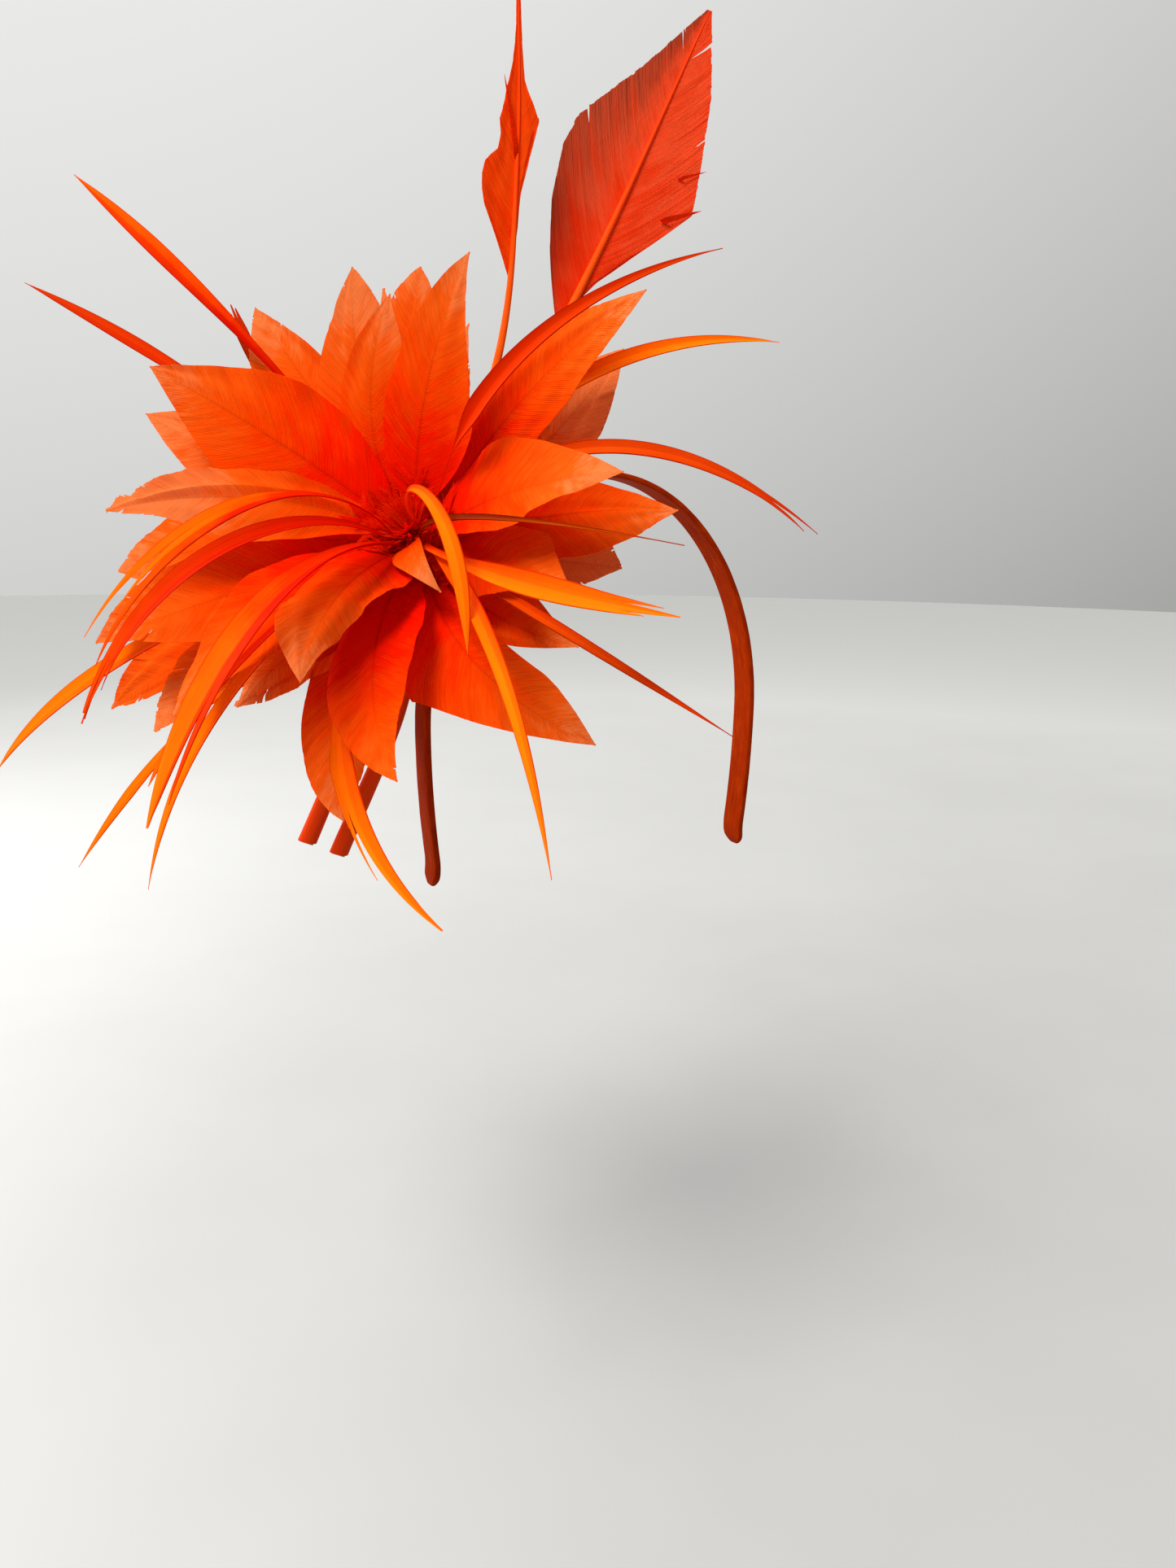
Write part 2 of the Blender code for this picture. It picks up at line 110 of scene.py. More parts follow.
# A petal. ahead and behind: mm of half width, each with the place where it is widest and how full
# it stays from there to the tip. tone: shift towards the pale tip colour, partly painted light and
# shade that makes some petals lighter or darker. fray: how ragged its edges are. ripple: mm that its
# edges wave out of its plane
Petal = namedtuple("Petal", (
    "name height azimuth lift curl sway length "
    "ahead ahead_at ahead_taper behind behind_at behind_taper tone fray ripple"
))

PETALS = table(Petal, (
    ("front_petal_1", -1, 63.5, 37, 3, -44, 91, 15, 0.42, 2.0, 22, 0.42, 1.1, 0.05, 0.2, 0.8),
    ("front_petal_2", -2, 0, 30, -15, -18, 96, 20, 0.40, 1.3, 12, 0.50, 1.3, 0.10, 0.4, 1.0),
    ("front_petal_3", -2, 265, 35, -42, 31, 78, 18, 0.35, 1.6, 16, 0.68, 1.2, 0.06, 0.3, 1.0),
    ("front_petal_4", -5, 155, 26, 9, 12, 102, 21, 0.60, 1.3, 22, 0.50, 1.7, 0.00, 0.5, 1.2),
    ("front_petal_5", -3, 191, 31, -7, 46, 98, 16, 0.62, 1.1, 11, 0.66, 1.5, 0.28, 1.6, 1.4),
    ("front_petal_6", -5, 239, 27, -22, 32, 101, 16, 0.48, 1.4, 17, 0.48, 1.5, -0.04, 1.0, 1.2),
    ("front_petal_7", -6, 290, 27, -13, 48, 110, 17, 0.42, 1.3, 15, 0.55, 2.0, -0.16, 0.5, 0.8),
    ("front_petal_8", -7, 93, 25, 5, -74, 82, 12, 0.60, 1.2, 13, 0.65, 2.2, 0.05, 0.4, 0.8),
    ("middle_petal_1", -9, 38, 22, 3, -38, 111, 14.5, 0.48, 1.8, 15, 0.50, 2.2, 0.00, 0.5, 0.8),
    ("middle_petal_2", -7, 338, 20, -10, -5, 72, 16, 0.68, 1.0, 13, 0.45, 0.8, 0.00, 0.5, 0.8),
    ("middle_petal_3", -8, 209, 18, -10, 7, 110, 16, 0.65, 1.0, 19, 0.70, 1.7, 0.00, 1.0, 1.0),
    ("middle_petal_4", -11, 106, 20, 8, -42, 95, 16, 0.62, 1.2, 14, 0.65, 3.0, 0.12, 0.8, 0.6),
    ("middle_petal_5", -10, 319, 8, -40, 48, 106, 12, 0.72, 1.8, 24, 0.48, 0.8, 0.00, 0.5, 0.8),
    ("middle_petal_6", -12, 161, 15, 0, 12, 109, 18, 0.65, 1.6, 14, 0.60, 1.6, 0.12, 0.6, 0.8),
    ("middle_petal_7", -12, 4, 10, -6, -20, 90, 13, 0.50, 1.3, 17, 0.60, 1.6, -0.05, 0.6, 0.8),
    ("middle_petal_8", -15, 271, 14, -18, 45, 103, 14, 0.50, 2.6, 15, 0.50, 3.4, 0.00, 0.6, 0.8),
    ("middle_petal_9", -14, 79, 18, -2, -24, 72, 12, 0.50, 1.6, 11, 0.50, 1.6, 0.05, 1.6, 0.8),
    ("middle_petal_10", -12, 234, 14, -16, 8, 80, 18, 0.55, 1.6, 16, 0.50, 1.6, 0.05, 1.2, 1.4),
    ("back_petal_1", -16, 95, 14, 4, -24, 95, 12, 0.75, 3.0, 10, 0.70, 2.6, 0.00, 0.8, 0.6),
    ("back_petal_2", -17.5, 132, 9, 0, -3, 114, 16, 0.70, 2.2, 11, 0.65, 1.6, 0.05, 0.7, 0.8),
    ("back_petal_3", -17, 189, 7, 0, 31, 115, 14, 0.70, 2.5, 19, 0.75, 1.8, 0.00, 1.2, 1.0),
    ("back_petal_4", -19, 210, 2, 0, 20, 129, 10, 0.65, 1.5, 18, 0.75, 1.6, -0.10, 1.2, 1.6),
    ("back_petal_5", -17, 222, 8, 0, 23, 111, 12, 0.60, 1.6, 16, 0.70, 2.4, 0.05, 1.2, 1.0),
    ("back_petal_6", -17, 332, 13, -10, 34, 72, 12, 0.65, 1.2, 12, 0.45, 0.9, 0.00, 0.6, 0.6),
    ("back_petal_7", -18, 354, 8, -5, -5, 68, 15, 0.65, 2.4, 14, 0.60, 1.3, 0.60, 1.2, 0.6),
    ("back_petal_8", -16, 46, 10, 0, 16, 90, 9, 0.78, 2.2, 18, 0.60, 1.2, 0.30, 0.5, 0.8),
    ("back_petal_9", -19, 107, 8, 0, -12, 97, 7, 0.60, 1.5, 7, 0.60, 1.5, 0.05, 1.0, 0.5),
    ("centre_petal", 1.5, 310, 24, -95, 2, 36, 3.3, 0.39, 1.2, 8.6, 0.44, 1.1, 0.22, 0.2, 0.2),
))

# A place where a vane's barbs have parted. side: 1 ahead or left, -1 behind or right.
# at: share of the length at the edge. depth: share of the barbs that part. gap: mm at the edge
Split = namedtuple("Split", "side at depth gap")
SPLITS = {
    "front_petal_2": (Split(1, 0.30, 0.5, 0.5), Split(1, 0.42, 0.35, 0.4)),
    "front_petal_5": (Split(-1, 0.93, 0.5, 0.7), Split(1, 0.955, 0.6, 0.8)),
    "front_petal_7": (Split(1, 0.955, 0.7, 1.2),),
    "middle_petal_3": (Split(1, 0.86, 0.5, 1.2),),
    "middle_petal_10": (Split(1, 0.90, 0.5, 0.8),),
    "back_petal_2": (Split(1, 0.80, 0.6, 1.2),),
    "back_petal_3": (Split(1, 0.92, 0.6, 0.9),),
    "back_petal_4": (Split(1, 0.92, 0.5, 0.9),),
    "back_petal_7": (Split(1, 0.84, 0.4, 1.0),),
}

# A strand of a biot's blade, from low to high across it (-1 to 1). tip: the share of the length
# where it ends. drift and lift: mm that its tip stands off sideways and off the face.
# end: the share of its width that its tip keeps
Strand = namedtuple("Strand", "low high tip drift lift end")
WHOLE = (Strand(-1.0, 1.0, 1.0, 0.0, 0.0, 0.0),)
# A biot. colour: its material. stalk: the share of its width that it starts with, up to the
# foot's share of its length. wide_at: where it is widest. taper: how full it stays from there
# to the tip. twist: degrees that its tip turns. split_at: where its strands part
Biot = namedtuple("Biot", (
    "name height azimuth lift curl sway length width colour stalk foot wide_at taper twist split_at strands"
), defaults=(1.0, WHOLE))
BIOTS = table(Biot, (
    ("biot_1", -1.5, 243, 42, -88, 38, 148.5, 7.5, "ember", 0.28, 0.0, 0.50, 2.6, 8, 0.84, table(Strand, (
        (-1.0, -0.5, 0.98, 0.6, 0.4, 0.6),
        (-0.5, -0.1, 0.99, 0.3, -0.3, 0.6),
        (-0.1, 0.3, 1.0, 0.0, 0.2, 0.6),
        (0.3, 0.65, 0.97, -0.1, 0.3, 0.4),
        (0.65, 1.0, 0.93, 1.2, -0.3, 0.05),
    ))),
    ("biot_2", 3.5, 247, 51, -93, 26, 147.5, 7.5, "dusk", 0.28, 0.25, 0.66, 2.2, -15, 0.62, table(Strand, (
        (-1.0, -0.4, 0.96, -2.0, 0.6, 0.05),
        (-0.4, 0.1, 0.90, 0.2, 0.0, 0.05),
        (0.1, 1.0, 1.0, 1.2, -0.4, 0.05),
    ))),
    ("biot_3", -13, 211, 1, -62, 6, 189, 7, "light", 0.28, 0.1, 0.68, 1.9, 12),
    ("biot_4", 1, 269, 41, -66, 6, 165, 11, "sunset", 0.28, 0.0, 0.62, 2.0, 6, 0.70, table(Strand, (
        (-1.0, 0.35, 1.0, -0.5, 0.4, 0.1),
        (0.35, 1.0, 0.96, 0.6, -0.8, 0.05),
    ))),
    ("biot_5", -3.5, 249, 29, -34, 28, 126, 6.5, "sunset", 0.28, 0.0, 0.60, 1.9, -12, 0.90, table(Strand, (
        (-1.0, 0.4, 1.0, 0.0, 0.0, 0.1),
        (0.4, 1.0, 0.97, 0.7, 0.3, 0.1),
    ))),
    ("biot_6", -9, 246.5, 12, -38, 43, 150, 5, "light", 0.28, 0.1, 0.58, 1.7, 10),
    ("biot_7", -15, 230.5, 4.5, -16, 26, 163, 4, "light", 0.28, 0.45, 0.80, 1.3, 0),
    ("biot_8", -11.5, 292, 20, -28, 78, 165, 10, "light", 0.40, 0.40, 0.70, 2.0, -20, 0.58, table(Strand, (
        (-1.0, -0.75, 0.72, -1.0, 1.0, 0.1),
        (-0.75, -0.4, 0.84, -1.6, -0.5, 0.1),
        (-0.4, 1.0, 1.0, 0.6, 0.0, 0.1),
    ))),
    ("biot_9", -7, 26, 32, -53.5, -39.5, 151, 7.5, "dark", 0.04, 0.22, 0.38, 1.2, 15),
    ("biot_10", -14, 25, 10.5, -19, -72.5, 143.5, 6, "light", 0.28, 0.1, 0.55, 1.6, 12),
    ("biot_11", -7, 352, 21, -39, -70, 165, 5, "brown", 0.28, 0.1, 0.50, 1.9, -10, 0.88, table(Strand, (
        (-1.0, 0.1, 0.98, -0.7, 0.0, 0.05),
        (0.1, 1.0, 1.0, 0.7, 0.3, 0.05),
    ))),
    ("biot_12", 2, 341.5, 35.5, -54.5, 11, 154.5, 2.6, "umber", 0.50, 0.0, 0.25, 1.3, 0),
    ("biot_13", 1.5, 319, 27, -135, -112, 112, 5, "light", 0.50, 0.30, 0.75, 1.9, 0),
    ("biot_14", -4, 308, 27.5, -43, -37, 174, 5, "light", 0.28, 0.0, 0.30, 2.4, 0),
    ("biot_15", -1, 337, 27, -49.5, 29.5, 138.5, 8, "light", 0.28, 0.25, 0.66, 2.0, -12, 0.82, table(Strand, (
        (-1.0, -0.4, 0.93, -0.9, 0.5, 0.1),
        (-0.4, 0.5, 1.0, 0.0, 0.0, 0.1),
        (0.5, 1.0, 0.96, 0.8, -0.3, 0.1),
    ))),
    ("biot_16", -10, 330, 19, -10.5, 0, 149, 3.5, "brown", 0.28, 0.0, 0.40, 1.8, 0),
    ("biot_17", -15.5, 152, 9, -8, 10, 196, 5, "dark", 0.28, 0.3, 0.70, 1.8, 10),
    ("biot_18", -15, 139.5, 13, -6.5, 10.5, 197, 6, "deep", 0.28, 0.3, 0.74, 1.9, -10),
    ("biot_19", -20, 134, 10, 6, -33.5, 124, 5, "brown", 0.28, 0.3, 0.90, 1.6, 0, 0.90, table(Strand, (
        (-1.0, -0.3, 0.98, -0.5, 0.3, 0.3),
        (-0.3, 0.3, 1.0, 0.0, 0.0, 0.3),
        (0.3, 1.0, 0.97, 0.4, 0.2, 0.3),
    ))),
))

# The quills: points in mm that the middle line passes, and the mm of vane to the left and right of
# it at shares of its length
RoutePoint = namedtuple("RoutePoint", "x y z")
VaneSection = namedtuple("VaneSection", "along left right")
BROAD_ROUTE = table(RoutePoint, (
    (-116.0, 16.0, -138.0),
    (-70.9, 10.4, -40.5),
    (-7.5, 8.0, 65.0),
    (46.0, 2.0, 172.0),
))
BROAD_VANE = table(VaneSection, (
    (0.62, 0.0, 0.0),
    (0.65, 7.0, 0.0),
    (0.69, 16.0, 4.6),
    (0.74, 24.0, 14.0),
    (0.80, 29.0, 26.0),
    (0.835, 28.0, 23.0),
    (0.87, 21.5, 19.5),
    (0.92, 12.5, 14.0),
    (0.965, 6.2, 6.5),
    (1.0, 1.0, 0.8),
))
SLIM_ROUTE = table(RoutePoint, (
    (-105.0, 12.0, -143.0),
    (-81.0, 8.0, -88.0),
    (-71.4, 4.0, -40.5),
    (-41.0, 3.0, 43.0),
    (-34.7, 0.0, 111.0),
    (-35.3, -2.0, 172.0),
))
SLIM_VANE = table(VaneSection, (
    (0.66, 0.0, 0.0),
    (0.69, 1.2, 0.0),
    (0.717, 5.0, 0.6),
    (0.740, 8.2, 1.2),
    (0.760, 11.2, 1.4),
    (0.775, 12.2, 1.8),
    (0.790, 12.4, 2.9),
    (0.803, 11.4, 3.9),
    (0.810, 9.6, 4.3),
    (0.816, 7.2, 4.8),
    (0.831, 6.3, 5.9),
    (0.847, 6.9, 7.3),
    (0.853, 6.2, 6.4),
    (0.865, 5.2, 4.8),
    (0.873, 4.8, 3.5),
    (0.885, 3.7, 2.0),
    (0.903, 2.3, 1.5),
    (0.917, 1.6, 1.2),
    (0.940, 0.9, 0.9),
    (1.0, 0.5, 0.5),
))
# A strip of barbs that stands away from a vane, from one share of the length and mm across it
# (+ to the left) to another. width and lift: mm
LooseStrip = namedtuple("LooseStrip", "along across end_along end_across width lift")
# Thickness of a quill's shaft. along: share of its length. radius: mm
ShaftSection = namedtuple("ShaftSection", "along radius")
BROAD_SHAFT = table(ShaftSection, (
    (0.0, 3.55),
    (0.50, 1.95),
    (0.65, 1.5),
    (0.77, 1.1),
    (0.87, 0.7),
    (0.97, 0.35),
    (1.0, 0.2),
))
SLIM_SHAFT = table(ShaftSection, (
    (0.0, 3.55),
    (0.50, 1.9),
    (0.68, 1.15),
    (0.84, 0.6),
    (1.0, 0.25),
))
BORE = table(ShaftSection, (
    (0.045, 1.2),
    (0.03, 2.3),
    (0.015, 2.5),
    (0.0, 2.6),
))
# A quill. dish: how far its vane is dished, as a share of its half width
Quill = namedtuple("Quill", "name route vane shaft dish splits strips")
QUILLS = (
    Quill("broad_quill", BROAD_ROUTE, BROAD_VANE, BROAD_SHAFT, 0.06, table(Split, (
        (-1, 0.968, 0.85, 1.3),
        (1, 0.965, 0.5, 0.5),
        (1, 0.845, 0.1, 1.2),
    )), table(LooseStrip, (
        (0.780, -17.0, 0.809, -28.5, 2.6, 2.2),
        (0.828, -16.0, 0.848, -24.0, 1.4, 2.0),
    ))),
    Quill("slim_quill", SLIM_ROUTE, SLIM_VANE, SLIM_SHAFT, 0.1, (), table(LooseStrip, (
        (0.808, 0.2, 0.889, 5.4, 1.7, 1.9),
    ))),
)
# The vane of a quill is finished as a petal is
Finish = namedtuple("Finish", "tone fray ripple")
QUILL_FINISH = Finish(0.0, 0.8, 0.7)
QUILL_SEED = 201
QUILL_SIDES = 14
CUT_SLOPE = -0.45  # slant of the shaft's cut end
BARE_SHAFT = 0.6  # share of the length without barbs, where the shaft runs on the middle line
BARE_RINGS = 60
VANE_RINGS = 80

# Barbs. angles: degrees between barb and shaft, at the foot and at the tip
PETAL_ROWS = 132  # of a petal 100 mm long
QUILL_ROWS = 330
VANE_COLUMNS = 10
SPINE_STEPS = 400
PETAL_ANGLES = (62.0, 34.0)
QUILL_ANGLES = (40.0, 33.0)
QUILL_LEAD = 0.12  # share of the length by which the first barb's root comes before the vane
BARB_BEND = 1.25
PETAL_RIDGE = 0.03  # mm between the heights of one barb and the next
QUILL_RIDGE = 0.12
VANE_THICKNESS = 0.34
VANE_EDGE_THICKNESS = 0.16
FOLDS = 2  # soft folds on each half of a vane
EDGE_STEPS = 900  # places along the edge where barbs may end
CLUMP_SIZES = (3, 9)  # barbs that cling together: at least 3 and fewer than 9
SPLIT_EASE = 5.0  # barbs on each side over which a split eases off
LEAST_ROWS = 40
SHAFT_END = 0.985  # share of a petal's length where its shaft ends
SHAFT_POINTS = 60
SHAFT_SIDES = 6
HAIR_SIDES = 4
RIBBON_ROWS = 8
RIBBON_THICKNESS = 0.12
STRIP_ROWS = 16
STRIP_COLUMNS = 5
STRIP_THICKNESS = 0.2
ROUTE_STEPS = 60
DOWN_BARBS = 18
DOWN_HAIRS = 8
DOWN_SEED = 50
DOWNLESS_LENGTH = 40.0  # mm, up to which a petal has no down
BIOT_ROWS = 90
BIOT_COLUMNS = 12
BIOT_CHANNEL = 0.42  # depth of the blade's channel, as a share of its half width

# Tuft, band and base
BAND_SEED = 7
DISC_SEED = 11
TUFT_SEED = 21
TUFT_RIBBONS = 110
TUFT_HAIRS = 150
LOOSE_HAIRS = 80
RIBBON_CIRCLE = 3.2  # mm from the flower's axis
HAIR_CIRCLE = 3.6
LOOSE_CIRCLE = 4.7
LEG_STEPS = 60
ARCH_STEPS = 161
BEND_STEPS = 90
STRAIGHT_STEPS = 150
BAND_RINGS = 281
BAND_SIDES = 36
DISC_SIDES = 72
CORE_SIDES = 24
CORE_RING_STEP = 0.22  # mm
THREAD_PITCH = 0.9  # mm
# Half section of the disc. reach: share of its radius. height: share of its thickness
ProfilePoint = namedtuple("ProfilePoint", "reach height")
DISC_PROFILE = table(ProfilePoint, (
    (0.0, 0.0), (0.5, 0.0), (0.9, 0.05), (0.975, 0.12), (1.0, 0.3), (1.0, 0.55), (0.985, 0.8),
    (0.955, 0.95), (0.90, 1.0), (0.8, 0.97), (0.6, 1.0), (0.35, 1.0), (0.0, 1.0),
))


def smooth(x):
    x = np.clip(x, 0.0, 1.0)
    return x * x * (3.0 - 2.0 * x)


def read_rows(at, places, rows):
    """Rows of three numbers, read in straight lines between the rows at given places."""
    return np.stack([np.interp(at, places, rows[:, k]) for k in range(3)], -1)


def run_along(path):
    """The distance along a path to each of its points."""
    return np.concatenate([[0.0], np.cumsum(np.linalg.norm(np.diff(path, axis=0), axis=1))])


def vane_values(x, y, z):
    """What the materials read at each point, from three arrays that fit together."""
    return np.stack(np.broadcast_arrays(x, y, z), -1)


# Points in mm, faces as index blocks, the material of each block, and a vector for each point that
# the materials read: x along the shaft in mm, y across from -1 to 1, z the place in the colour ramp
Part = namedtuple("Part", "points faces vane material")


def make_piece(name, parts, materials, slot, *nodes):
    """Joins parts into one mesh object that rides on the body and stands for the named CAD nodes."""
    faces = []
    finish = []
    start = 0
    for part in parts:
        for block in part.faces:
            faces += (np.asarray(block) + start).tolist()
            finish += [part.material] * len(block)
        start += len(part.points)
    mesh = bpy.data.meshes.new(name)
    mesh.from_pydata((np.concatenate([p.points for p in parts]) * MM).tolist(), [], faces)
    vane = mesh.attributes.new("vane", "FLOAT_VECTOR", "POINT")
    vane.data.foreach_set("vector", np.concatenate([p.vane for p in parts]).astype(np.float32).ravel())
    for mat in materials:
        mesh.materials.append(mat)
    mesh.polygons.foreach_set("material_index", finish)
    mesh.shade_smooth()
    mesh.set_sharp_from_angle(angle=math.radians(SHARP_ANGLE))
    obj = new_object(name, mesh)
    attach(obj, "root")
    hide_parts(*nodes)


def sheet_part(points, vane, thickness, keep=None, material=0):
    """A closed thin body from a grid of points: rows along the shaft, columns across it."""
    rows, columns = points.shape[:2]
    normal = np.cross(np.gradient(points, axis=0), np.gradient(points, axis=1))
    normal = normal / np.maximum(np.linalg.norm(normal, axis=-1, keepdims=True), 1e-9)
    index = np.arange(rows * columns).reshape(rows, columns)
    quads = np.stack([index[:-1, :-1], index[1:, :-1], index[1:, 1:], index[:-1, 1:]], -1)
    quads = quads.reshape(-1, 4) if keep is None else quads[keep]
    used, quads = np.unique(quads, return_inverse=True)
    quads = quads.reshape(-1, 4)
    count = len(used)
    middle = points.reshape(-1, 3)[used]
    half = np.broadcast_to(thickness, (rows, columns))[..., None] / 2
    offset = (normal * half).reshape(-1, 3)[used]
    edges = np.concatenate([quads[:, [k, (k + 1) % 4]] for k in range(4)])
    forward = edges[:, 0] * count + edges[:, 1]
    backward = edges[:, 1] * count + edges[:, 0]
    rim = edges[~np.isin(forward, backward)]
    walls = np.stack([rim[:, 1], rim[:, 0], rim[:, 0] + count, rim[:, 1] + count], -1)
    values = vane.reshape(-1, 3)[used]
    return Part(
        np.concatenate([middle + offset, middle - offset]),
        [quads, quads[:, ::-1] + count, walls],
        np.concatenate([values, values]), material,
    )


def loft_part(rings, vane, material=0, first_cap=True, last_cap=True):
    """A body through rings of equal point counts, closed at the ends that have caps."""
    rings = np.asarray(rings, float)
    count, sides = rings.shape[:2]
    index = np.arange(count * sides).reshape(count, sides)
    turned = np.roll(index, -1, axis=1)
    faces = [np.stack([index[:-1], index[1:], turned[1:], turned[:-1]], -1).reshape(-1, 4)]
    if first_cap:
        faces.append(index[:1])
    if last_cap:
        faces.append(index[-1:, ::-1])
    return Part(rings.reshape(-1, 3), faces, np.asarray(vane, float).reshape(-1, 3), material)


def circles(path, radii, sides, guide):
    """Rings about a path, in the order that loft_part needs to face outward."""
    along = unit(np.gradient(path, axis=0))
    side = unit(np.cross(along, guide))
    up = np.cross(side, along)
    angle = math.tau * np.arange(sides) / sides
    spokes = np.cos(angle)[:, None] * side[:, None] + np.sin(angle)[:, None] * up[:, None]
    return path[:, None] + spokes * np.asarray(radii)[:, None, None]


def tube_part(path, radii, sides, guide, vane):
    """A closed tube about a path, with one vector of the vane for each ring."""
    values = np.repeat(np.asarray(vane, float)[:, None], sides, axis=1)
    return loft_part(circles(path, radii, sides, guide), values)


# A feather's middle line, read at shares of its length
Spine = namedtuple("Spine", "share place side face length")


def spine_frame(spine, share):
    """Places on the middle line with their directions ahead, to the side and off the face."""
    place, side, face = (
        read_rows(share, spine.share, rows) for rows in (spine.place, spine.side, spine.face)
    )
    return place, np.cross(side, face), side, face


def on_spine(spine, share, across, height):
    """Points at a share of the length, mm across and mm above the middle line."""
    place, ahead, side, face = spine_frame(spine, share)
    past = (share - np.clip(share, 0.0, 1.0)) * spine.length
    across = np.asarray(across)[..., None]
    height = np.asarray(height)[..., None]
    return place + ahead * past[..., None] + side * across + face * height


def feather_spine(feather):
    """The middle line of a petal or biot, turning in lift and azimuth along its length."""
    share = np.linspace(0.0, 1.0, SPINE_STEPS + 1)
    azimuth = np.radians(feather.azimuth + feather.sway * (share - 0.5))[:, None]
    lift = np.radians(feather.lift + feather.curl * (share - 0.5))[:, None]
    outward = ACROSS * np.cos(azimuth) + UPWARD * np.sin(azimuth)
    side = UPWARD * np.cos(azimuth) - ACROSS * np.sin(azimuth)
    along = outward * np.cos(lift) + AXIS * np.sin(lift)
    face = AXIS * np.cos(lift) - outward * np.sin(lift)
    core = CORE_TOP_RADIUS + CORE_SLOPE * (CORE_TOP - feather.height)
    start = HUB + AXIS * feather.height + outward[0] * (core + GAP + FEATHER_THICKNESS / 2)
    steps = (along[1:] + along[:-1]) / 2 * feather.length / SPINE_STEPS
    place = start + np.concatenate([np.zeros((1, 3)), np.cumsum(steps, axis=0)])
    return Spine(share, place, side, face, feather.length)


def petal_width(s, width, widest, taper):
    """One side of a petal: from a narrow stem out to its widest place, then in to a pointed tip."""
    x = np.clip((s - STEM_END) / (widest - STEM_END), 0.0, 1.0)
    rise = x * (2.0 - x)
    u = np.clip((s - widest) / (1.0 - widest), 0.0, 1.0)
    return np.where(
        s < widest, STEM_HALF_WIDTH + (width - STEM_HALF_WIDTH) * rise,
        np.maximum(TIP_HALF_WIDTH, width * (1.0 - u ** taper)),
    )


def barb_ends(root, width_at, length, angles):
    """The share of the length where the barb that starts at root meets the vane's edge."""
    ends = np.linspace(0.0, 1.0, EDGE_STEPS)
    lean = np.radians(angles[0] + (angles[1] - angles[0]) * ends)
    roots = ends - width_at(ends) / (length * np.tan(lean))
    roots = np.maximum.accumulate(roots) + np.arange(len(ends)) * 1e-9
    return np.interp(root, roots, ends)


def clumps(rng, count, sizes):
    """For each barb the number of the clump that it clings to."""
    numbers = []
    k = 0
    while len(numbers) < count:
        numbers += [k] * int(rng.integers(*sizes))
        k += 1
    return np.array(numbers[:count])


def half_vane(side, roots, width_at, dish_at, length, angles, finish, ridge, splits, rng):
    """Shares, mm across and heights of one half of a vane, with the faces that its splits leave.

    Barbs cling in clumps that end unevenly, most of all near the tip, and the half waves and folds.
    """
    c = np.linspace(0.0, 1.0, VANE_COLUMNS + 1)
    ends = barb_ends(roots, width_at, length, angles)
    clump = clumps(rng, len(roots), CLUMP_SIZES)
    uneven = rng.normal(0.0, 1.0, (3, clump.max() + 1))[:, clump]
    fine = rng.normal(0.0, 1.0, (2, len(roots)))
    wide = width_at(ends)
    loose = 0.25 + 0.75 * smooth((ends - 0.72) / 0.2)
    reach = wide * (1.0 + finish.fray * loose * (0.010 * uneven[0] + 0.004 * fine[0]))
    torn = max(0.0, finish.fray - 0.8) * smooth((ends - 0.84) / 0.1)
    reach += torn * np.maximum(0.0, uneven[0] + 0.3 * fine[1])
    share = roots[:, None] + (ends - roots)[:, None] * c ** BARB_BEND
    share += (finish.fray * loose * 0.16 / length * uneven[1])[:, None] * c ** 2
    across = reach[:, None] * c
    height = dish_at(share) * (c ** 2 - 0.3)
    phase = rng.uniform(0.0, 1.0, 2)
    turns = rng.uniform(1.2, 2.4)
    room = np.minimum(1.0, wide / 8.0)[:, None]
    wave = room * finish.ripple
    height += 1.3 * wave * c ** 2 * np.sin(math.tau * (turns * share + phase[0]))
    height += 0.35 * wave * c ** 2 * np.sin(math.tau * (turns * 3.1 * share + phase[1]))
    height += room * (0.10 + 0.05 * finish.fray) * (uneven[2] + 0.35 * fine[1])[:, None] * c ** 1.5
    height += ridge * ((np.arange(len(roots)) % 2) - 0.5)[:, None] * c ** 0.3
    for fold in range(FOLDS):
        middle = rng.uniform(0.25, 0.85) + rng.uniform(-0.3, 0.3) * share
        depth = rng.normal(0.0, 0.75)
        height += wave * depth * np.exp(-((c - middle) / 0.16) ** 2) * smooth(share * 3)
    keep = np.ones((len(roots) - 1, VANE_COLUMNS), bool)
    small = [
        Split(side, at, rng.uniform(0.06, 0.16), rng.uniform(0.2, 0.5) * (0.5 + 0.4 * finish.fray))
        for at in rng.uniform(0.78, 0.98, int(1.6 * finish.fray))
    ]
    for split in list(splits) + small:
        if split.side == side:
            part_barbs(split, ends, c, share, height, keep, length)
    return share, across * side, height, keep


def part_barbs(split, ends, c, share, height, keep, length):
    """Parts the barbs on both sides of a split, more towards the vane's edge."""
    i = int(np.clip(np.searchsorted(ends, split.at), 2, len(ends) - 4))
    root = 1.0 - split.depth
    t = np.clip((c - root) / split.depth, 0.0, 1.0)
    open_ = c >= root
    want = (0.05 + split.gap * t ** 1.4) / length
    shift = np.where(open_, np.maximum(want - (share[i + 1] - share[i]), -0.004) / 2, 0.0)
    rows = np.arange(len(ends))
    below = np.where(rows <= i, np.exp(-(i - rows) / SPLIT_EASE), 0.0)[:, None]
    above = np.where(rows > i, np.exp(-(rows - i - 1) / SPLIT_EASE), 0.0)[:, None]
    share += (above - below) * shift
    height += (above - below) * 0.35 * split.gap * t ** 1.5
    keep[i, (c[:-1] + c[1:]) / 2 > root] = False


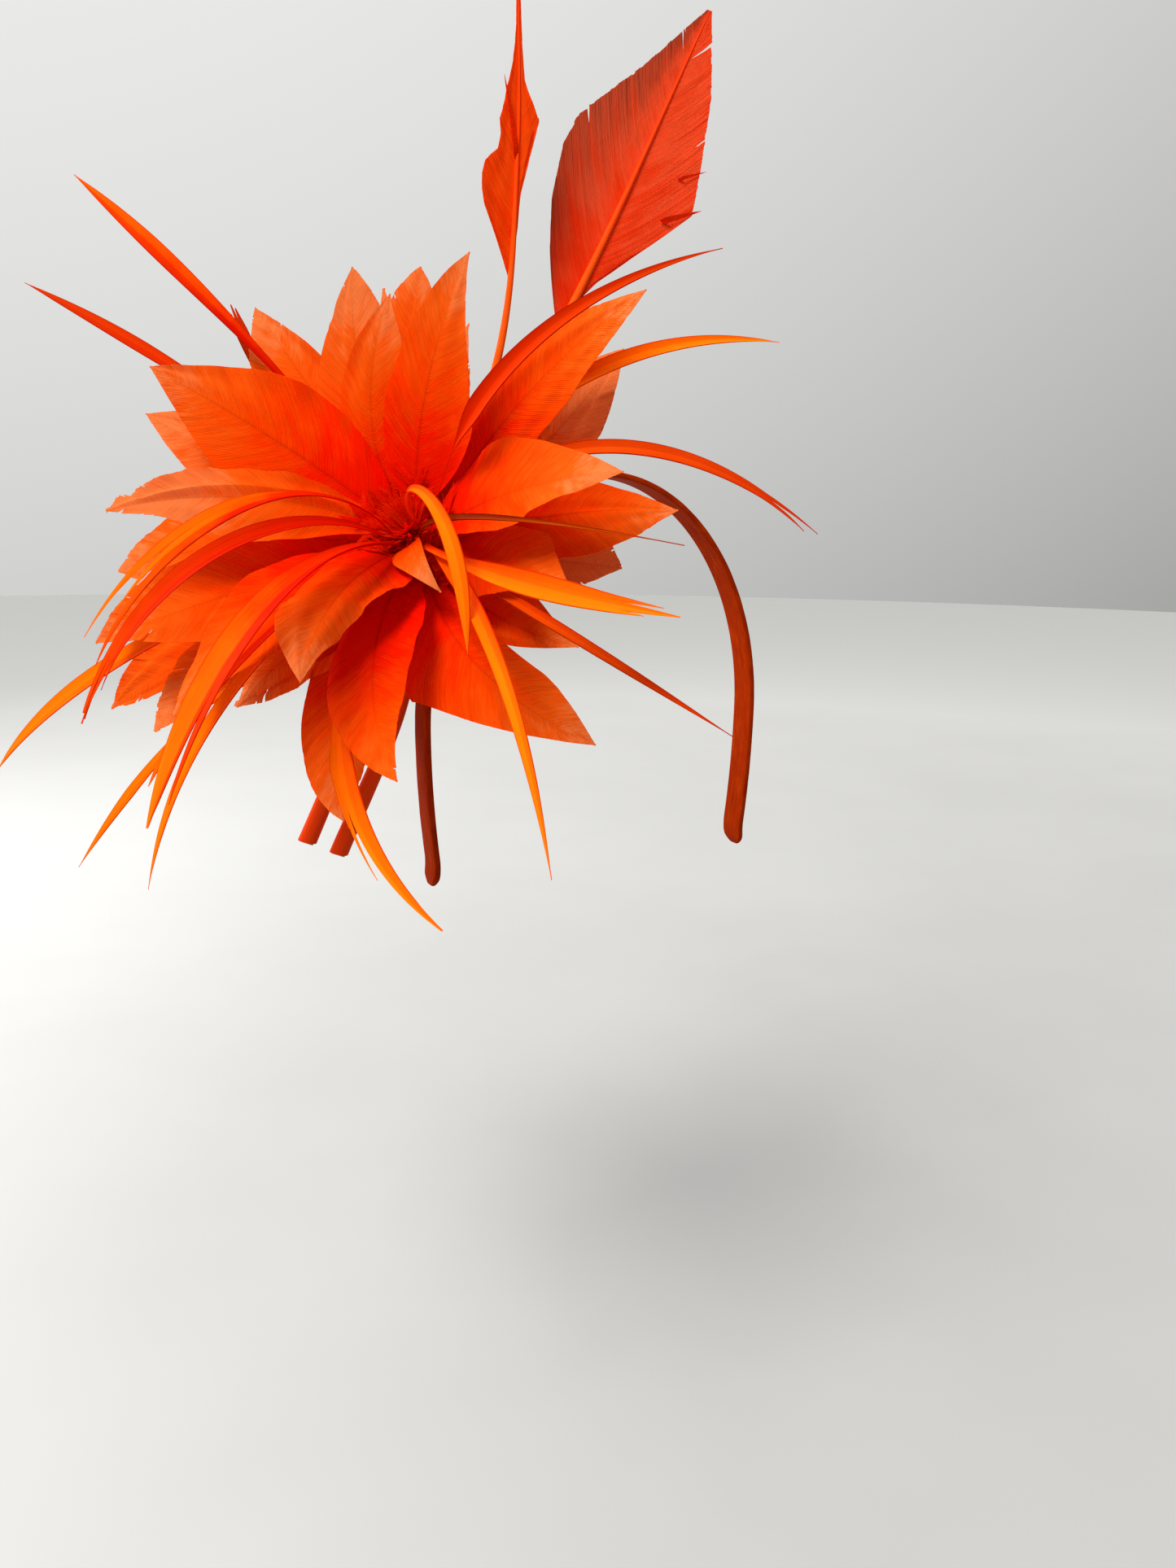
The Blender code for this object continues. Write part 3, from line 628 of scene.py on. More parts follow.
def vane_part(spine, rows, start, widths, dish_at, angles, finish, ridge, splits, seed, material=0):
    """Both halves of a vane as one thin closed body. widths: the functions of the two half widths."""
    rng = np.random.default_rng(seed)
    roots = np.linspace(start, 1.0, rows + 1)
    ahead, behind = (
        half_vane(side, roots, width_at, dish_at, spine.length, angles, finish, ridge, splits, rng)
        for side, width_at in zip((1, -1), widths)
    )
    share, across, height = (
        np.concatenate([b[:, :0:-1], a], axis=1) for a, b in zip(ahead[:3], behind[:3])
    )
    keep = np.concatenate([behind[3][:, ::-1], ahead[3]], axis=1)
    c = np.linspace(-1.0, 1.0, 2 * VANE_COLUMNS + 1)
    vane = vane_values(roots[:, None] * spine.length, c, share + finish.tone)
    thickness = VANE_THICKNESS + (VANE_EDGE_THICKNESS - VANE_THICKNESS) * np.abs(c)
    return sheet_part(on_spine(spine, share, across, height), vane, thickness, keep, material)


def petal(number, feather, mat):
    """A cupped vane of barbs on a fine tapering shaft, with down at its foot."""
    spine = feather_spine(feather)

    def ahead(s):
        return petal_width(s, feather.ahead, feather.ahead_at, feather.ahead_taper)

    def behind(s):
        return petal_width(s, feather.behind, feather.behind_at, feather.behind_taper)

    def dish(s):
        return np.maximum(0.0, (ahead(s) + behind(s)) / 2 - 2.0) * PETAL_CUP

    rows = max(LEAST_ROWS, int(PETAL_ROWS * feather.length / 100))
    vane = vane_part(
        spine, rows, 0.0, (ahead, behind), dish, PETAL_ANGLES, feather, PETAL_RIDGE,
        SPLITS.get(feather.name, ()), number + 1,
    )
    share = np.linspace(0.0, SHAFT_END, SHAFT_POINTS)
    shaft = on_spine(spine, share, 0.0, -0.3 * dish(share) - 0.12)
    radii = 0.12 + 0.5 * (1.0 - share) ** 1.2
    values = vane_values(share * feather.length, 0.0, share + feather.tone)
    parts = [vane, tube_part(shaft, radii, SHAFT_SIDES, AXIS, values)]
    if feather.length > DOWNLESS_LENGTH:
        parts += foot_down(spine, DOWN_SEED + number)
    make_piece(feather.name + "_vane", parts, [mat], "feather_orange", feather.name)


def foot_down(spine, seed):
    """Downy barbs on both sides of a feather's foot: soft flat ones and a few loose hairs."""
    rng = np.random.default_rng(seed)
    parts = []
    for k in range(DOWN_BARBS + DOWN_HAIRS):
        start, ahead, side, face = spine_frame(spine, rng.uniform(0.01, 0.12))
        away = side * rng.choice((-1.0, 1.0))
        direction = unit(
            away * rng.uniform(0.3, 0.9) + ahead * rng.uniform(0.4, 1.1) + face * rng.uniform(-0.1, 0.3)
        )
        bend = face * rng.uniform(-0.1, 0.3) - away * rng.uniform(-0.3, 0.4)
        length = rng.uniform(6.0, 13.0)
        tone = rng.uniform(0.0, 0.2)
        if k < DOWN_BARBS:
            parts.append(ribbon(start, direction, length, bend, face, rng.uniform(0.9, 1.6), tone))
        else:
            parts.append(hair(start, direction, length, bend + face * 0.4, 0.11, 8, tone + 0.3))
    return parts


def ribbon(start, direction, length, bend, face, width, tone):
    """A soft flat barb, widest near its middle."""
    t = np.linspace(0.0, 1.0, RIBBON_ROWS)[:, None]
    c = np.array((-1.0, 0.0, 1.0))
    path = start + direction * (length * t) + bend * (length * t ** 2)
    side = unit(np.cross(direction, face))
    half = np.maximum(0.06, width * np.sin(math.pi * (0.12 + 0.86 * t)))
    points = path[:, None] + side * (half * c)[..., None] + face * (0.25 * half * (1.0 - c ** 2))[..., None]
    return sheet_part(points, vane_values(t * length, c, tone + 0.25 * t), RIBBON_THICKNESS)


def hair(start, direction, length, bend, radius, points, tone):
    """A fine barb that bends steadily towards a direction."""
    t = np.linspace(0.0, 1.0, points)
    path = start + direction * (length * t[:, None]) + bend * (length * t[:, None] ** 2)
    guide = unit(np.cross(direction, bend) + 1e-3)
    values = vane_values(t * length, 0.0, tone + 0.3 * t)
    return tube_part(path, radius * (1.0 - 0.85 * t), HAIR_SIDES, guide, values)


def biot_half_width(s, feather):
    """From a narrow stalk out to the widest place, then in to a fine tip."""
    rise = smooth((s - feather.foot) / (feather.wide_at - feather.foot))
    swell = feather.stalk + (1.0 - feather.stalk) * rise
    taper = 1.0 - np.clip((s - feather.wide_at) / (1.0 - feather.wide_at), 0.0, 1.0) ** feather.taper
    return np.maximum(0.12, feather.width / 2 * swell * taper)


def biot_strand(spine, feather, strand):
    """One strand of a blade: part of its width to the split, then a blade of its own."""
    columns = max(3, round(BIOT_COLUMNS * (strand.high - strand.low) / 2))
    c = np.linspace(-1.0, 1.0, columns + 1)
    s = np.linspace(0.0, strand.tip, BIOT_ROWS + 1)[:, None]
    middle = (strand.low + strand.high) / 2
    share = (strand.high - strand.low) / 2
    whole = biot_half_width(s, feather)
    at_split = biot_half_width(feather.split_at, feather)
    t = np.clip((s - feather.split_at) / max(strand.tip - feather.split_at, 1e-6), 0.0, 1.0)
    parted = at_split * share * (1.0 - (1.0 - strand.end) * t ** 1.8)
    half = np.maximum(np.where(t > 0, parted, whole * share), 0.1)
    centre = np.where(t > 0, at_split * middle * (1.0 - 0.5 * t), whole * middle) + strand.drift * t ** 1.5
    flat = centre + half * c
    blade = np.clip(flat / np.maximum(whole, 1e-6), -1.0, 1.0)
    up = whole * BIOT_CHANNEL * (blade ** 2 - 0.4) * (1.0 - 0.4 * s) + strand.lift * t ** 1.5
    turn = np.radians(feather.twist) * smooth((s - 0.2) / 0.8)
    across = flat * np.cos(turn) - up * np.sin(turn)
    height = up * np.cos(turn) + flat * np.sin(turn)
    thickness = np.clip(0.5 * half / 1.2, 0.16, 0.5) * (1.0 - 0.3 * np.abs(c))
    values = vane_values(s * feather.length, middle + share * c, s)
    return sheet_part(on_spine(spine, s, across, height), values, thickness)


def biot(feather, mats):
    """A long channelled blade whose end may split into strands."""
    spine = feather_spine(feather)
    parts = [biot_strand(spine, feather, strand) for strand in feather.strands]
    make_piece(feather.name + "_blade", parts, [mats[feather.colour]], "biot_orange", feather.name)


def route_spine(route):
    """The middle line of a quill, smoothly through its route's points."""
    knots = np.array(route, float)
    knots = np.concatenate([[2 * knots[0] - knots[1]], knots, [2 * knots[-1] - knots[-2]]])
    t = np.linspace(0.0, 1.0, ROUTE_STEPS, endpoint=False)[:, None]
    dense = []
    for p0, p1, p2, p3 in zip(knots, knots[1:], knots[2:], knots[3:]):
        dense.append(0.5 * (
            2 * p1 + (p2 - p0) * t + (2 * p0 - 5 * p1 + 4 * p2 - p3) * t ** 2
            + (3 * p1 - p0 - 3 * p2 + p3) * t ** 3
        ))
    dense = np.concatenate(dense + [knots[-2:-1]])
    run = run_along(dense)
    share = np.linspace(0.0, 1.0, SPINE_STEPS + 1)
    place = read_rows(share * run[-1], run, dense)
    along = unit(np.gradient(place, axis=0))
    side = unit(np.cross(QUILL_FACING, along))
    return Spine(share, place, side, np.cross(along, side), run[-1])


def loose_strip(spine, strip):
    """A narrow pointed strip that lies off the vane's face."""
    t = np.linspace(0.0, 1.0, STRIP_ROWS)[:, None]
    c = np.linspace(-1.0, 1.0, STRIP_COLUMNS)
    share = strip.along + (strip.end_along - strip.along) * t
    across = strip.across + (strip.end_across - strip.across) * t + strip.width / 2 * (1.05 - t ** 2) * c
    height = strip.lift * smooth(8.0 * t) + 0.3 * strip.width * (1.0 - t) * c
    values = vane_values(share * spine.length, 0.5 * c, share - 0.3)
    return sheet_part(on_spine(spine, share, across, height), values, STRIP_THICKNESS, material=1)


def quill(feather, seed, mats):
    """A hollow cut shaft that tapers into a vane of fine barbs, with loose strips off its face."""
    spine = route_spine(feather.route)
    along, lefts, rights = np.array(feather.vane).T
    thick_at, radii = np.array(feather.shaft).T

    def left(s):
        return np.maximum(np.interp(s, along, lefts), TIP_HALF_WIDTH)

    def right(s):
        return np.maximum(np.interp(s, along, rights), TIP_HALF_WIDTH)

    def dish(s):
        return feather.dish * (left(s) + right(s)) / 2

    vane = vane_part(
        spine, QUILL_ROWS, along[0] - QUILL_LEAD, (left, right), dish, QUILL_ANGLES, QUILL_FINISH,
        QUILL_RIDGE, feather.splits, seed, 1,
    )
    bare = np.linspace(0.0, BARE_SHAFT, BARE_RINGS)
    share = np.concatenate([bare, np.linspace(BARE_SHAFT + 0.005, 1.0, VANE_RINGS)])
    radius = np.interp(share, thick_at, radii)
    middle = on_spine(spine, share, 0.0, np.where(share > BARE_SHAFT, 0.25, 0.0) * radius)
    outer = circles(middle, radius, QUILL_SIDES, QUILL_FACING)
    bore, bore_radius = np.array(BORE).T
    inner = circles(on_spine(spine, bore, 0.0, 0.0), bore_radius, QUILL_SIDES, QUILL_FACING)
    cut = CUT_SLOPE * (outer[0] - middle[0])[:, 2:] * unit(spine.place[1] - spine.place[0])
    outer[0] += cut
    inner[-1] += 0.8 * cut
    rings = np.concatenate([inner, outer])
    place = np.concatenate([bore, share])[:, None]
    values = vane_values(place * spine.length, np.linspace(-1.0, 1.0, QUILL_SIDES), place)
    rim = len(BORE)
    hollow = loft_part(rings[:rim + 1], values[:rim + 1], 2, last_cap=False)
    shaft = loft_part(rings[rim:], values[rim:], 0, first_cap=False)
    parts = [shaft, vane, hollow] + [loose_strip(spine, strip) for strip in feather.strips]
    make_piece(feather.name + "_feather", parts, mats, "quill_coral", feather.name)


# Headband


def leg_point(depth):
    """Inner face of the left leg, at a depth below the crown."""
    share = (depth - BAND_WIDEST_DEPTH) / (BAND_HEIGHT - BAND_WIDEST_DEPTH)
    foot = np.maximum(0.0, (depth - (BAND_HEIGHT - BAND_FLARE_LENGTH)) / BAND_FLARE_LENGTH)
    x = BAND_HALF_WIDTH - BAND_INWARD * share ** 2 + BAND_FLARE * foot ** 2
    return np.stack([x, np.zeros_like(x), -depth], -1)


def arch_point(angle):
    """Inner face and outward normal of the arch, at an angle from the crown, + to the wearer's left."""
    a = np.radians(angle)
    zero = np.zeros_like(a)
    place = np.stack([BAND_HALF_WIDTH * np.sin(a), zero, -BAND_WIDEST_DEPTH * (1.0 - np.cos(a))], -1)
    normal = unit(np.stack([np.sin(a) / BAND_HALF_WIDTH, zero, np.cos(a) / BAND_WIDEST_DEPTH], -1))
    return place, normal


def headband(mats):
    """A padded satin strip with a soft crown, turned edges and rounded feet."""
    leg = leg_point(np.linspace(BAND_HEIGHT, BAND_WIDEST_DEPTH, LEG_STEPS, endpoint=False))
    arch, _ = arch_point(np.linspace(-90.0, 90.0, ARCH_STEPS))
    path = np.concatenate([leg * (-1, 1, 1), arch, leg[::-1]])
    run = run_along(path)
    even = np.linspace(0.0, 1.0, BAND_RINGS)
    closer = 0.5 - 0.5 * np.sin((0.5 - even) * math.pi * 0.999) / math.sin(math.pi / 2 * 0.999)
    share = 0.7 * closer + 0.3 * even
    distance = share * run[-1]
    path = read_rows(distance, run, path)
    along = unit(np.gradient(path, axis=0))
    normal = np.cross(along, (0.0, 1.0, 0.0))
    normal = unit(normal * np.sign((normal * (path - BAND_MIDDLE)).sum(-1, keepdims=True)))
    end = np.minimum(share, 1.0 - share) * run[-1] + 0.5
    half = BAND_WIDTH / 2
    rounded = np.sqrt(np.maximum(half ** 2 - (half - np.minimum(end, half)) ** 2, 0.3))
    wide = np.where(end < half, rounded, half)
    a = math.tau * np.arange(BAND_SIDES) / BAND_SIDES
    x = np.sign(np.cos(a)) * np.abs(np.cos(a)) ** 0.42
    up = np.sin(a)
    lift = np.where(up > 0, np.abs(up) ** 0.6, -np.abs(up) ** 0.35)
    middle = BAND_THICKNESS * 0.42
    rng = np.random.default_rng(BAND_SEED)
    crease = np.interp(distance, np.arange(0, 480, 4.0), rng.normal(0, 1, 120))
    thick = np.where(lift > 0, (BAND_THICKNESS - middle) * (1.0 + 0.03 * crease[:, None]), middle)
    seam = 0.12 * np.exp(-((np.abs(x) - 0.93) / 0.05) ** 2) * (up > 0)
    soft = np.minimum(1.0, 0.35 + end / 6.0)[:, None]
    out = middle + (lift * thick - seam) * soft
    sideways = np.array((0.0, 1.0, 0.0)) * (wide[:, None] * x)[..., None]
    rings = path[:, None] + normal[:, None] * out[..., None] + sideways
    values = vane_values(distance[:, None], x * half, np.abs(x))
    make_piece("headband_satin", [loft_part(rings, values)], mats, "satin_rust", "headband")


# Base


def felt_disc(bottom, normal):
    """The felt disc, with faces and an edge that are a little uneven."""
    rng = np.random.default_rng(DISC_SEED)
    first = unit(np.cross(normal, (0.0, 1.0, 0.0)))
    second = np.cross(normal, first)
    angle = -math.tau * np.arange(DISC_SIDES) / DISC_SIDES
    spokes = np.cos(angle)[:, None] * first + np.sin(angle)[:, None] * second
    rings = []
    for point in DISC_PROFILE:
        radius = max(point.reach, 0.01) * DISC_RADIUS * (1.0 + rng.normal(0.0, 0.004, DISC_SIDES))
        level = point.height * DISC_THICKNESS + rng.normal(0.0, 0.05, DISC_SIDES)
        level = np.clip(level, 0.0, DISC_THICKNESS + 0.2)
        rings.append(bottom + spokes * radius[:, None] + normal * level[:, None])
    reach, height = np.array(DISC_PROFILE).T[:, :, None]
    return loft_part(rings, vane_values(-angle * DISC_RADIUS, reach * DISC_RADIUS, height))


def wrapped_core(top, normal):
    """The core that turns forward from the disc and runs straight to the hub, wound with thread."""
    straight = HUB - AXIS * CORE_STRAIGHT
    foot = top + normal * 0.2 - np.array((0.0, CORE_FOOT_FORWARD, 0.0))
    corner = (foot + straight) / 2 + normal * 1.6
    t = np.linspace(0.0, 1.0, BEND_STEPS)[:, None]
    lower = (1 - t) ** 2 * (foot - normal) + 2 * t * (1 - t) * corner + t ** 2 * straight
    tip = HUB + AXIS * CORE_TOP
    upper = straight + (tip - straight) * np.linspace(0.0, 1.0, STRAIGHT_STEPS)[1:, None]
    path = np.concatenate([lower, upper])
    run = run_along(path)
    distance = np.linspace(0.0, 1.0, int(run[-1] / CORE_RING_STEP)) * run[-1]
    path = read_rows(distance, run, path)
    to_tip = run[-1] - distance
    radius = np.minimum(CORE_FOOT_RADIUS, CORE_TOP_RADIUS + CORE_SLOPE * to_tip)
    radius -= 0.8 * smooth((0.8 - to_tip) / 0.8)
    rings = circles(path, radius, CORE_SIDES, np.array((0.3, 0.2, 1.0)))
    turn = np.arange(CORE_SIDES) / CORE_SIDES
    turns = distance[:, None] / THREAD_PITCH + turn
    thread = np.abs(np.sin(math.pi * turns))
    rings = path[:, None] + (rings - path[:, None]) * (0.96 + 0.04 * thread[..., None])
    return loft_part(rings, vane_values(turns, turn, thread), 1)


def feather_base(mats):
    """The felt disc on the band and the thread-wrapped core that turns forward from it."""
    inner, normal = arch_point(np.array(-BASE_ANGLE))
    bottom = inner + normal * (BAND_THICKNESS + GAP)
    parts = [felt_disc(bottom, normal), wrapped_core(bottom + normal * DISC_THICKNESS, normal)]
    make_piece("feather_base_felt", parts, mats, "felt_orange", "feather_base")


def around(rng):
    """A random direction away from the flower's axis."""
    angle = rng.uniform(0.0, math.tau)
    return ACROSS * math.cos(angle) + UPWARD * math.sin(angle)


def centre_tuft(mats):
    """The short tuft of fine barbs at the middle of the flower, with loose hairs round it."""
    rng = np.random.default_rng(TUFT_SEED)
    parts = []
    top = HUB + AXIS * (CORE_TOP + 0.1)
    for k in range(TUFT_RIBBONS):
        outward = around(rng)
        start = top - AXIS * 1.0 + outward * RIBBON_CIRCLE * math.sqrt(rng.uniform(0.0, 1.0))
        direction = unit(AXIS * rng.uniform(0.5, 1.4) + outward + UPWARD * 0.2)
        face = unit(AXIS + UPWARD * 0.3 - outward * rng.uniform(0.0, 0.3))
        bend = AXIS * rng.uniform(0.0, 0.4) + rng.normal(0.0, 0.1, 3)
        length, width, tone = (rng.uniform(*span) for span in ((6.0, 11.0), (0.7, 1.1), (0.1, 0.5)))
        parts.append(ribbon(start, direction, length, bend, face, width, tone))
    for k in range(TUFT_HAIRS):
        outward = around(rng)
        start = top + outward * HAIR_CIRCLE * math.sqrt(rng.uniform(0.0, 1.0))
        direction = unit(AXIS + outward * rng.uniform(0.1, 1.3) + UPWARD * 0.25)
        bend = outward * rng.uniform(-0.2, 0.5) + rng.normal(0.0, 0.12, 3)
        length, radius, tone = (rng.uniform(*span) for span in ((4.0, 9.5), (0.16, 0.28), (0.2, 0.7)))
        parts.append(hair(start, direction, length, bend, radius, 7, tone))
    for k in range(LOOSE_HAIRS):
        outward = around(rng)
        turn = np.cross(AXIS, outward) * rng.choice((-1.0, 1.0))
        start = top - AXIS * rng.uniform(0.0, 2.0) + outward * LOOSE_CIRCLE
        direction = unit(outward + AXIS * rng.uniform(0.75, 1.5))
        bend = turn * rng.uniform(0.2, 0.7) + outward * rng.uniform(-0.5, 0.2)
        parts.append(hair(start, direction, rng.uniform(6.0, 13.0), bend, 0.09, 9, rng.uniform(0.1, 0.5)))
    make_piece("centre_tuft_barbs", parts, mats, "tuft_red", "centre_tuft")


# Materials

SOFT_IOR = 1.04  # keeps the gloss of feathers and cloth low
SHAFT_IOR = 1.10
DRY_IOR = 1.5
BARB_LINE_PITCH = 0.62  # mm
SPINE_SHADE = (0.62, 0.25, 0.2, 1.0)
DIM_SHADE = (0.38, 0.075, 0.035, 1.0)
# Painted shade on the half of a biot beyond its fold and on its edges
PAINTED_FOLD_SHADE = (0.72, 0.28, 0.2, 1.0)
SEAM_SHADE = (0.6, 0.45, 0.4, 1.0)


class Nodes:
    """A material's nodes, with short calls to add and join them."""

    def __init__(self, name):
        self.mat = bpy.data.materials.new(name)
        self.mat.use_nodes = True
        self.tree = self.mat.node_tree
        self.shader = self.tree.nodes["Principled BSDF"]

    def add(self, kind, **settings):
        node = self.tree.nodes.new("ShaderNode" + kind)
        for key, value in settings.items():
            setattr(node, key, value)
        return node

    def put(self, value, socket):
        """Sets a socket to a number or colour, or joins a link to it."""
        if isinstance(value, (int, float, tuple)):
            socket.default_value = value
        else:
            self.tree.links.new(value, socket)

    def math(self, operation, *values):
        node = self.add("Math", operation=operation)
        for value, socket in zip(values, node.inputs):
            self.put(value, socket)
        return node.outputs[0]

    def times(self, a, b):
        return self.math("MULTIPLY", a, b)

    def plus(self, a, b):
        return self.math("ADD", a, b)

    def swing(self, value, by):
        """A value of 0 to 1 moved down to swing about 0, times a factor."""
        return self.times(self.math("SUBTRACT", value, 0.5), by)

    def vane(self):
        """The x, y and z of the mesh's vane attribute."""
        node = self.add("Attribute", attribute_name="vane")
        split = self.add("SeparateXYZ")
        self.put(node.outputs["Vector"], split.inputs[0])
        return split.outputs

    def noise_at(self, point, scale, detail):
        node = self.add("TexNoise")
        node.inputs["Scale"].default_value = scale
        node.inputs["Detail"].default_value = detail
        node.inputs["Roughness"].default_value = 0.6
        self.put(point, node.inputs["Vector"])
        return node.outputs["Fac"]

    def noise(self, x, y, z, detail):
        """Noise at the point made of three values or links."""
        point = self.add("CombineXYZ")
        for value, socket in zip((x, y, z), point.inputs):
            self.put(value, socket)
        return self.noise_at(point.outputs[0], 1.0, detail)

    def cloud(self, scale, detail=3.0):
        """Noise over the piece's own space, with its scale in cells per metre."""
        return self.noise_at(self.add("TexCoord").outputs["Object"], scale, detail)

    def ramp(self, value, *stops):
        """Colours at places along a value of 0 to 1. A single number is a grey."""
        node = self.add("ValToRGB")
        elements = node.color_ramp.elements
        while len(elements) < len(stops):
            elements.new(0.5)
        for element, (place, colour) in zip(elements, stops):
            element.position = place
            element.color = (*(colour if isinstance(colour, tuple) else [colour] * 3), 1.0)
        self.put(value, node.inputs[0])
        return node.outputs[0]

    def spread(self, value, low, high):
        """A value of 0 to 1 spread over another range."""
        node = self.add("MapRange")
        node.inputs["To Min"].default_value = low
        node.inputs["To Max"].default_value = high
        self.put(value, node.inputs["Value"])
        return node.outputs[0]

    def mix(self, blend, amount, a, b):
        node = self.add("Mix", data_type="RGBA", blend_type=blend)
        for value, number in ((amount, 0), (a, 6), (b, 7)):
            self.put(value, node.inputs[number])
        return node.outputs[2]

    def surface(self, colour, relief, depth, strength, rough, ior=SOFT_IOR, through=0.0):
        """The material with its colour, relief and roughness. through: the share of light let through."""
        bump = self.add("Bump")
        bump.inputs["Strength"].default_value = strength
        bump.inputs["Distance"].default_value = depth
        self.put(relief, bump.inputs["Height"])
        normal = bump.outputs[0]
        for value, key in ((colour, "Base Color"), (normal, "Normal"), (rough, "Roughness")):
            self.put(value, self.shader.inputs[key])
        self.shader.inputs["IOR"].default_value = ior
        if through:
            glow = self.add("BsdfTranslucent")
            self.put(colour, glow.inputs["Color"])
            self.put(normal, glow.inputs["Normal"])
            both = self.add("MixShader")
            both.inputs[0].default_value = through
            self.put(self.shader.outputs[0], both.inputs[1])
            self.put(glow.outputs[0], both.inputs[2])
            self.put(both.outputs[0], self.tree.nodes["Material Output"].inputs["Surface"])
        return self.mat


def feather_material(name, stops, dark_spine, through, contrast=0.3, dim_side=0.0):
    """Barbs in fine slanting lines, from a deep base colour to a pale tip; on petals the deep foot is partly
    painted shade and the pale tip partly painted light.
    """
    n = Nodes(name)
    x, y, z = n.vane()
    streak = n.noise(n.times(x, 1.1), n.times(y, 1.6), 0.0, 4.0)
    band = n.noise(n.times(x, 0.16), n.times(y, 1.2), 3.0, 2.0)
    place = n.plus(z, n.swing(streak, contrast))
    place = n.plus(place, n.swing(band, contrast * 1.2))
    place = n.plus(place, n.swing(n.cloud(90.0), contrast * 0.8))
    colour = n.ramp(place, *stops)
    near = n.ramp(n.times(n.math("ABSOLUTE", y), 9.0), (0.0, 1.0), (0.35, 0.25), (1.0, 0.0))
    colour = n.mix("MULTIPLY", n.times(near, dark_spine), colour, SPINE_SHADE)
    lines = n.noise(n.times(x, 2.4), n.times(y, 0.8), 7.0, 2.0)
    colour = n.mix("MULTIPLY", 0.55, colour, n.ramp(lines, (0.36, (0.74, 0.66, 0.66)), (0.52, 1.0)))
    if dim_side:
        shade = n.ramp(n.plus(y, n.math("SUBTRACT", band, 0.5)), (0.3, 0.0), (1.0, 1.0))
        colour = n.mix("MIX", n.times(shade, dim_side), colour, DIM_SHADE)
    barbs = n.math("SINE", n.times(x, math.tau / BARB_LINE_PITCH))
    relief = n.plus(n.times(barbs, 0.25), streak)
    return n.surface(colour, relief, 0.0008, 0.6, n.spread(streak, 0.5, 0.8), through=through)


def blade_material(name, fold, stops):
    """A biot: fine lines along its length, with painted shade on the half beyond its fold and on its edges.
    """
    n = Nodes(name)
    x, y, z = n.vane()
    lines = n.noise(n.times(x, 0.05), n.times(y, 9.0), 0.0, 4.0)
    place = n.plus(z, n.swing(lines, 0.3))
    place = n.plus(place, n.swing(n.cloud(70.0), 0.3))
    # Painted shade of the channel: the colour goes deeper across the blade towards the side beyond the fold,
    # which is darkened with both edges
    place = n.math("SUBTRACT", place, n.times(y, 0.12))
    across = n.plus(n.times(y, 0.5), 0.5)
    dark = n.ramp(across, (0.0, 0.9), (0.05, 0.0), (0.50, 0.0), (0.58, fold), (0.93, fold), (0.98, 1.0))
    colour = n.mix("MULTIPLY", dark, n.ramp(place, *stops), PAINTED_FOLD_SHADE)
    return n.surface(colour, lines, 0.0003, 0.35, n.spread(lines, 0.5, 0.75), through=0.25)


def shaft_material(name, stops):
    """The horny shaft of a quill, with faint grooves along it."""
    n = Nodes(name)
    x, y, z = n.vane()
    lines = n.noise(n.times(x, 0.06), n.times(y, 12.0), 0.0, 3.0)
    colour = n.ramp(n.plus(z, n.swing(lines, 0.35)), *stops)
    return n.surface(colour, lines, 0.0004, 0.4, n.spread(lines, 0.3, 0.55), SHAFT_IOR)


def satin_material():
    """Rust satin: a fine diagonal weave with slow creases, painted darker in their hollows and lighter on
    their ridges as shade and sheen.
    """
    n = Nodes("satin_rust_look")
    x, y, z = n.vane()
    slant = n.plus(n.times(x, 2.2), n.times(y, 2.2))
    threads = n.math("SINE", n.times(slant, math.tau))
    crease = n.noise(n.times(x, 0.12), n.times(y, 0.5), 0.0, 4.0)
    # Painted shade and sheen: the colour follows the creases' relief, darker in its hollows
    colour = n.ramp(crease, (0.25, (0.23, 0.012, 0.0)), (0.55, (0.32, 0.022, 0.0)), (0.8, (0.44, 0.042, 0.0)))
    edge = n.ramp(z, (0.86, 0.0), (0.95, 1.0), (1.0, 0.4))
    colour = n.mix("MULTIPLY", n.times(edge, 0.5), colour, SEAM_SHADE)
    relief = n.plus(n.times(threads, 0.12), n.times(crease, 1.5))
    return n.surface(colour, relief, 0.0005, 0.45, n.spread(crease, 0.35, 0.55))


def felt_material():
    """Orange felt: matted fibres."""
    n = Nodes("felt_orange_look")
    fibres = n.cloud(1400.0, 6.0)
    both = n.plus(n.times(fibres, 0.6), n.times(n.cloud(160.0), 0.4))
    colour = n.ramp(
        both, (0.3, (0.50, 0.02, 0.002)), (0.55, (0.75, 0.05, 0.004)), (0.75, (0.88, 0.10, 0.012)),
    )
    return n.surface(colour, both, 0.0012, 0.7, n.spread(fibres, 0.8, 1.0))


def thread_material():
    """Red thread wound round the core, with painted shade in the grooves between its turns."""
    n = Nodes("thread_red_look")
    x, y, z = n.vane()
    twist = n.math("SINE", n.plus(n.times(y, 260.0), n.times(x, 20.0)))
    # Painted shade: z is how far the thread rises, so the colour darkens into the grooves between turns
    tone = n.plus(n.times(z, 0.8), n.times(twist, 0.08))
    colour = n.ramp(tone, (0.1, (0.35, 0.002, 0.0)), (0.8, (0.85, 0.012, 0.001)))
    return n.surface(colour, twist, 0.0002, 0.3, n.spread(n.cloud(500.0), 0.5, 0.75))


def pith_material():
    """The pale dry pith in a quill's cut end."""
    n = Nodes("pith_look")
    grain = n.cloud(900.0, 4.0)
    colour = n.ramp(grain, (0.3, (0.30, 0.05, 0.02)), (0.7, (0.75, 0.42, 0.24)))
    return n.surface(colour, grain, 0.0008, 0.6, n.spread(grain, 0.6, 0.9), DRY_IOR)


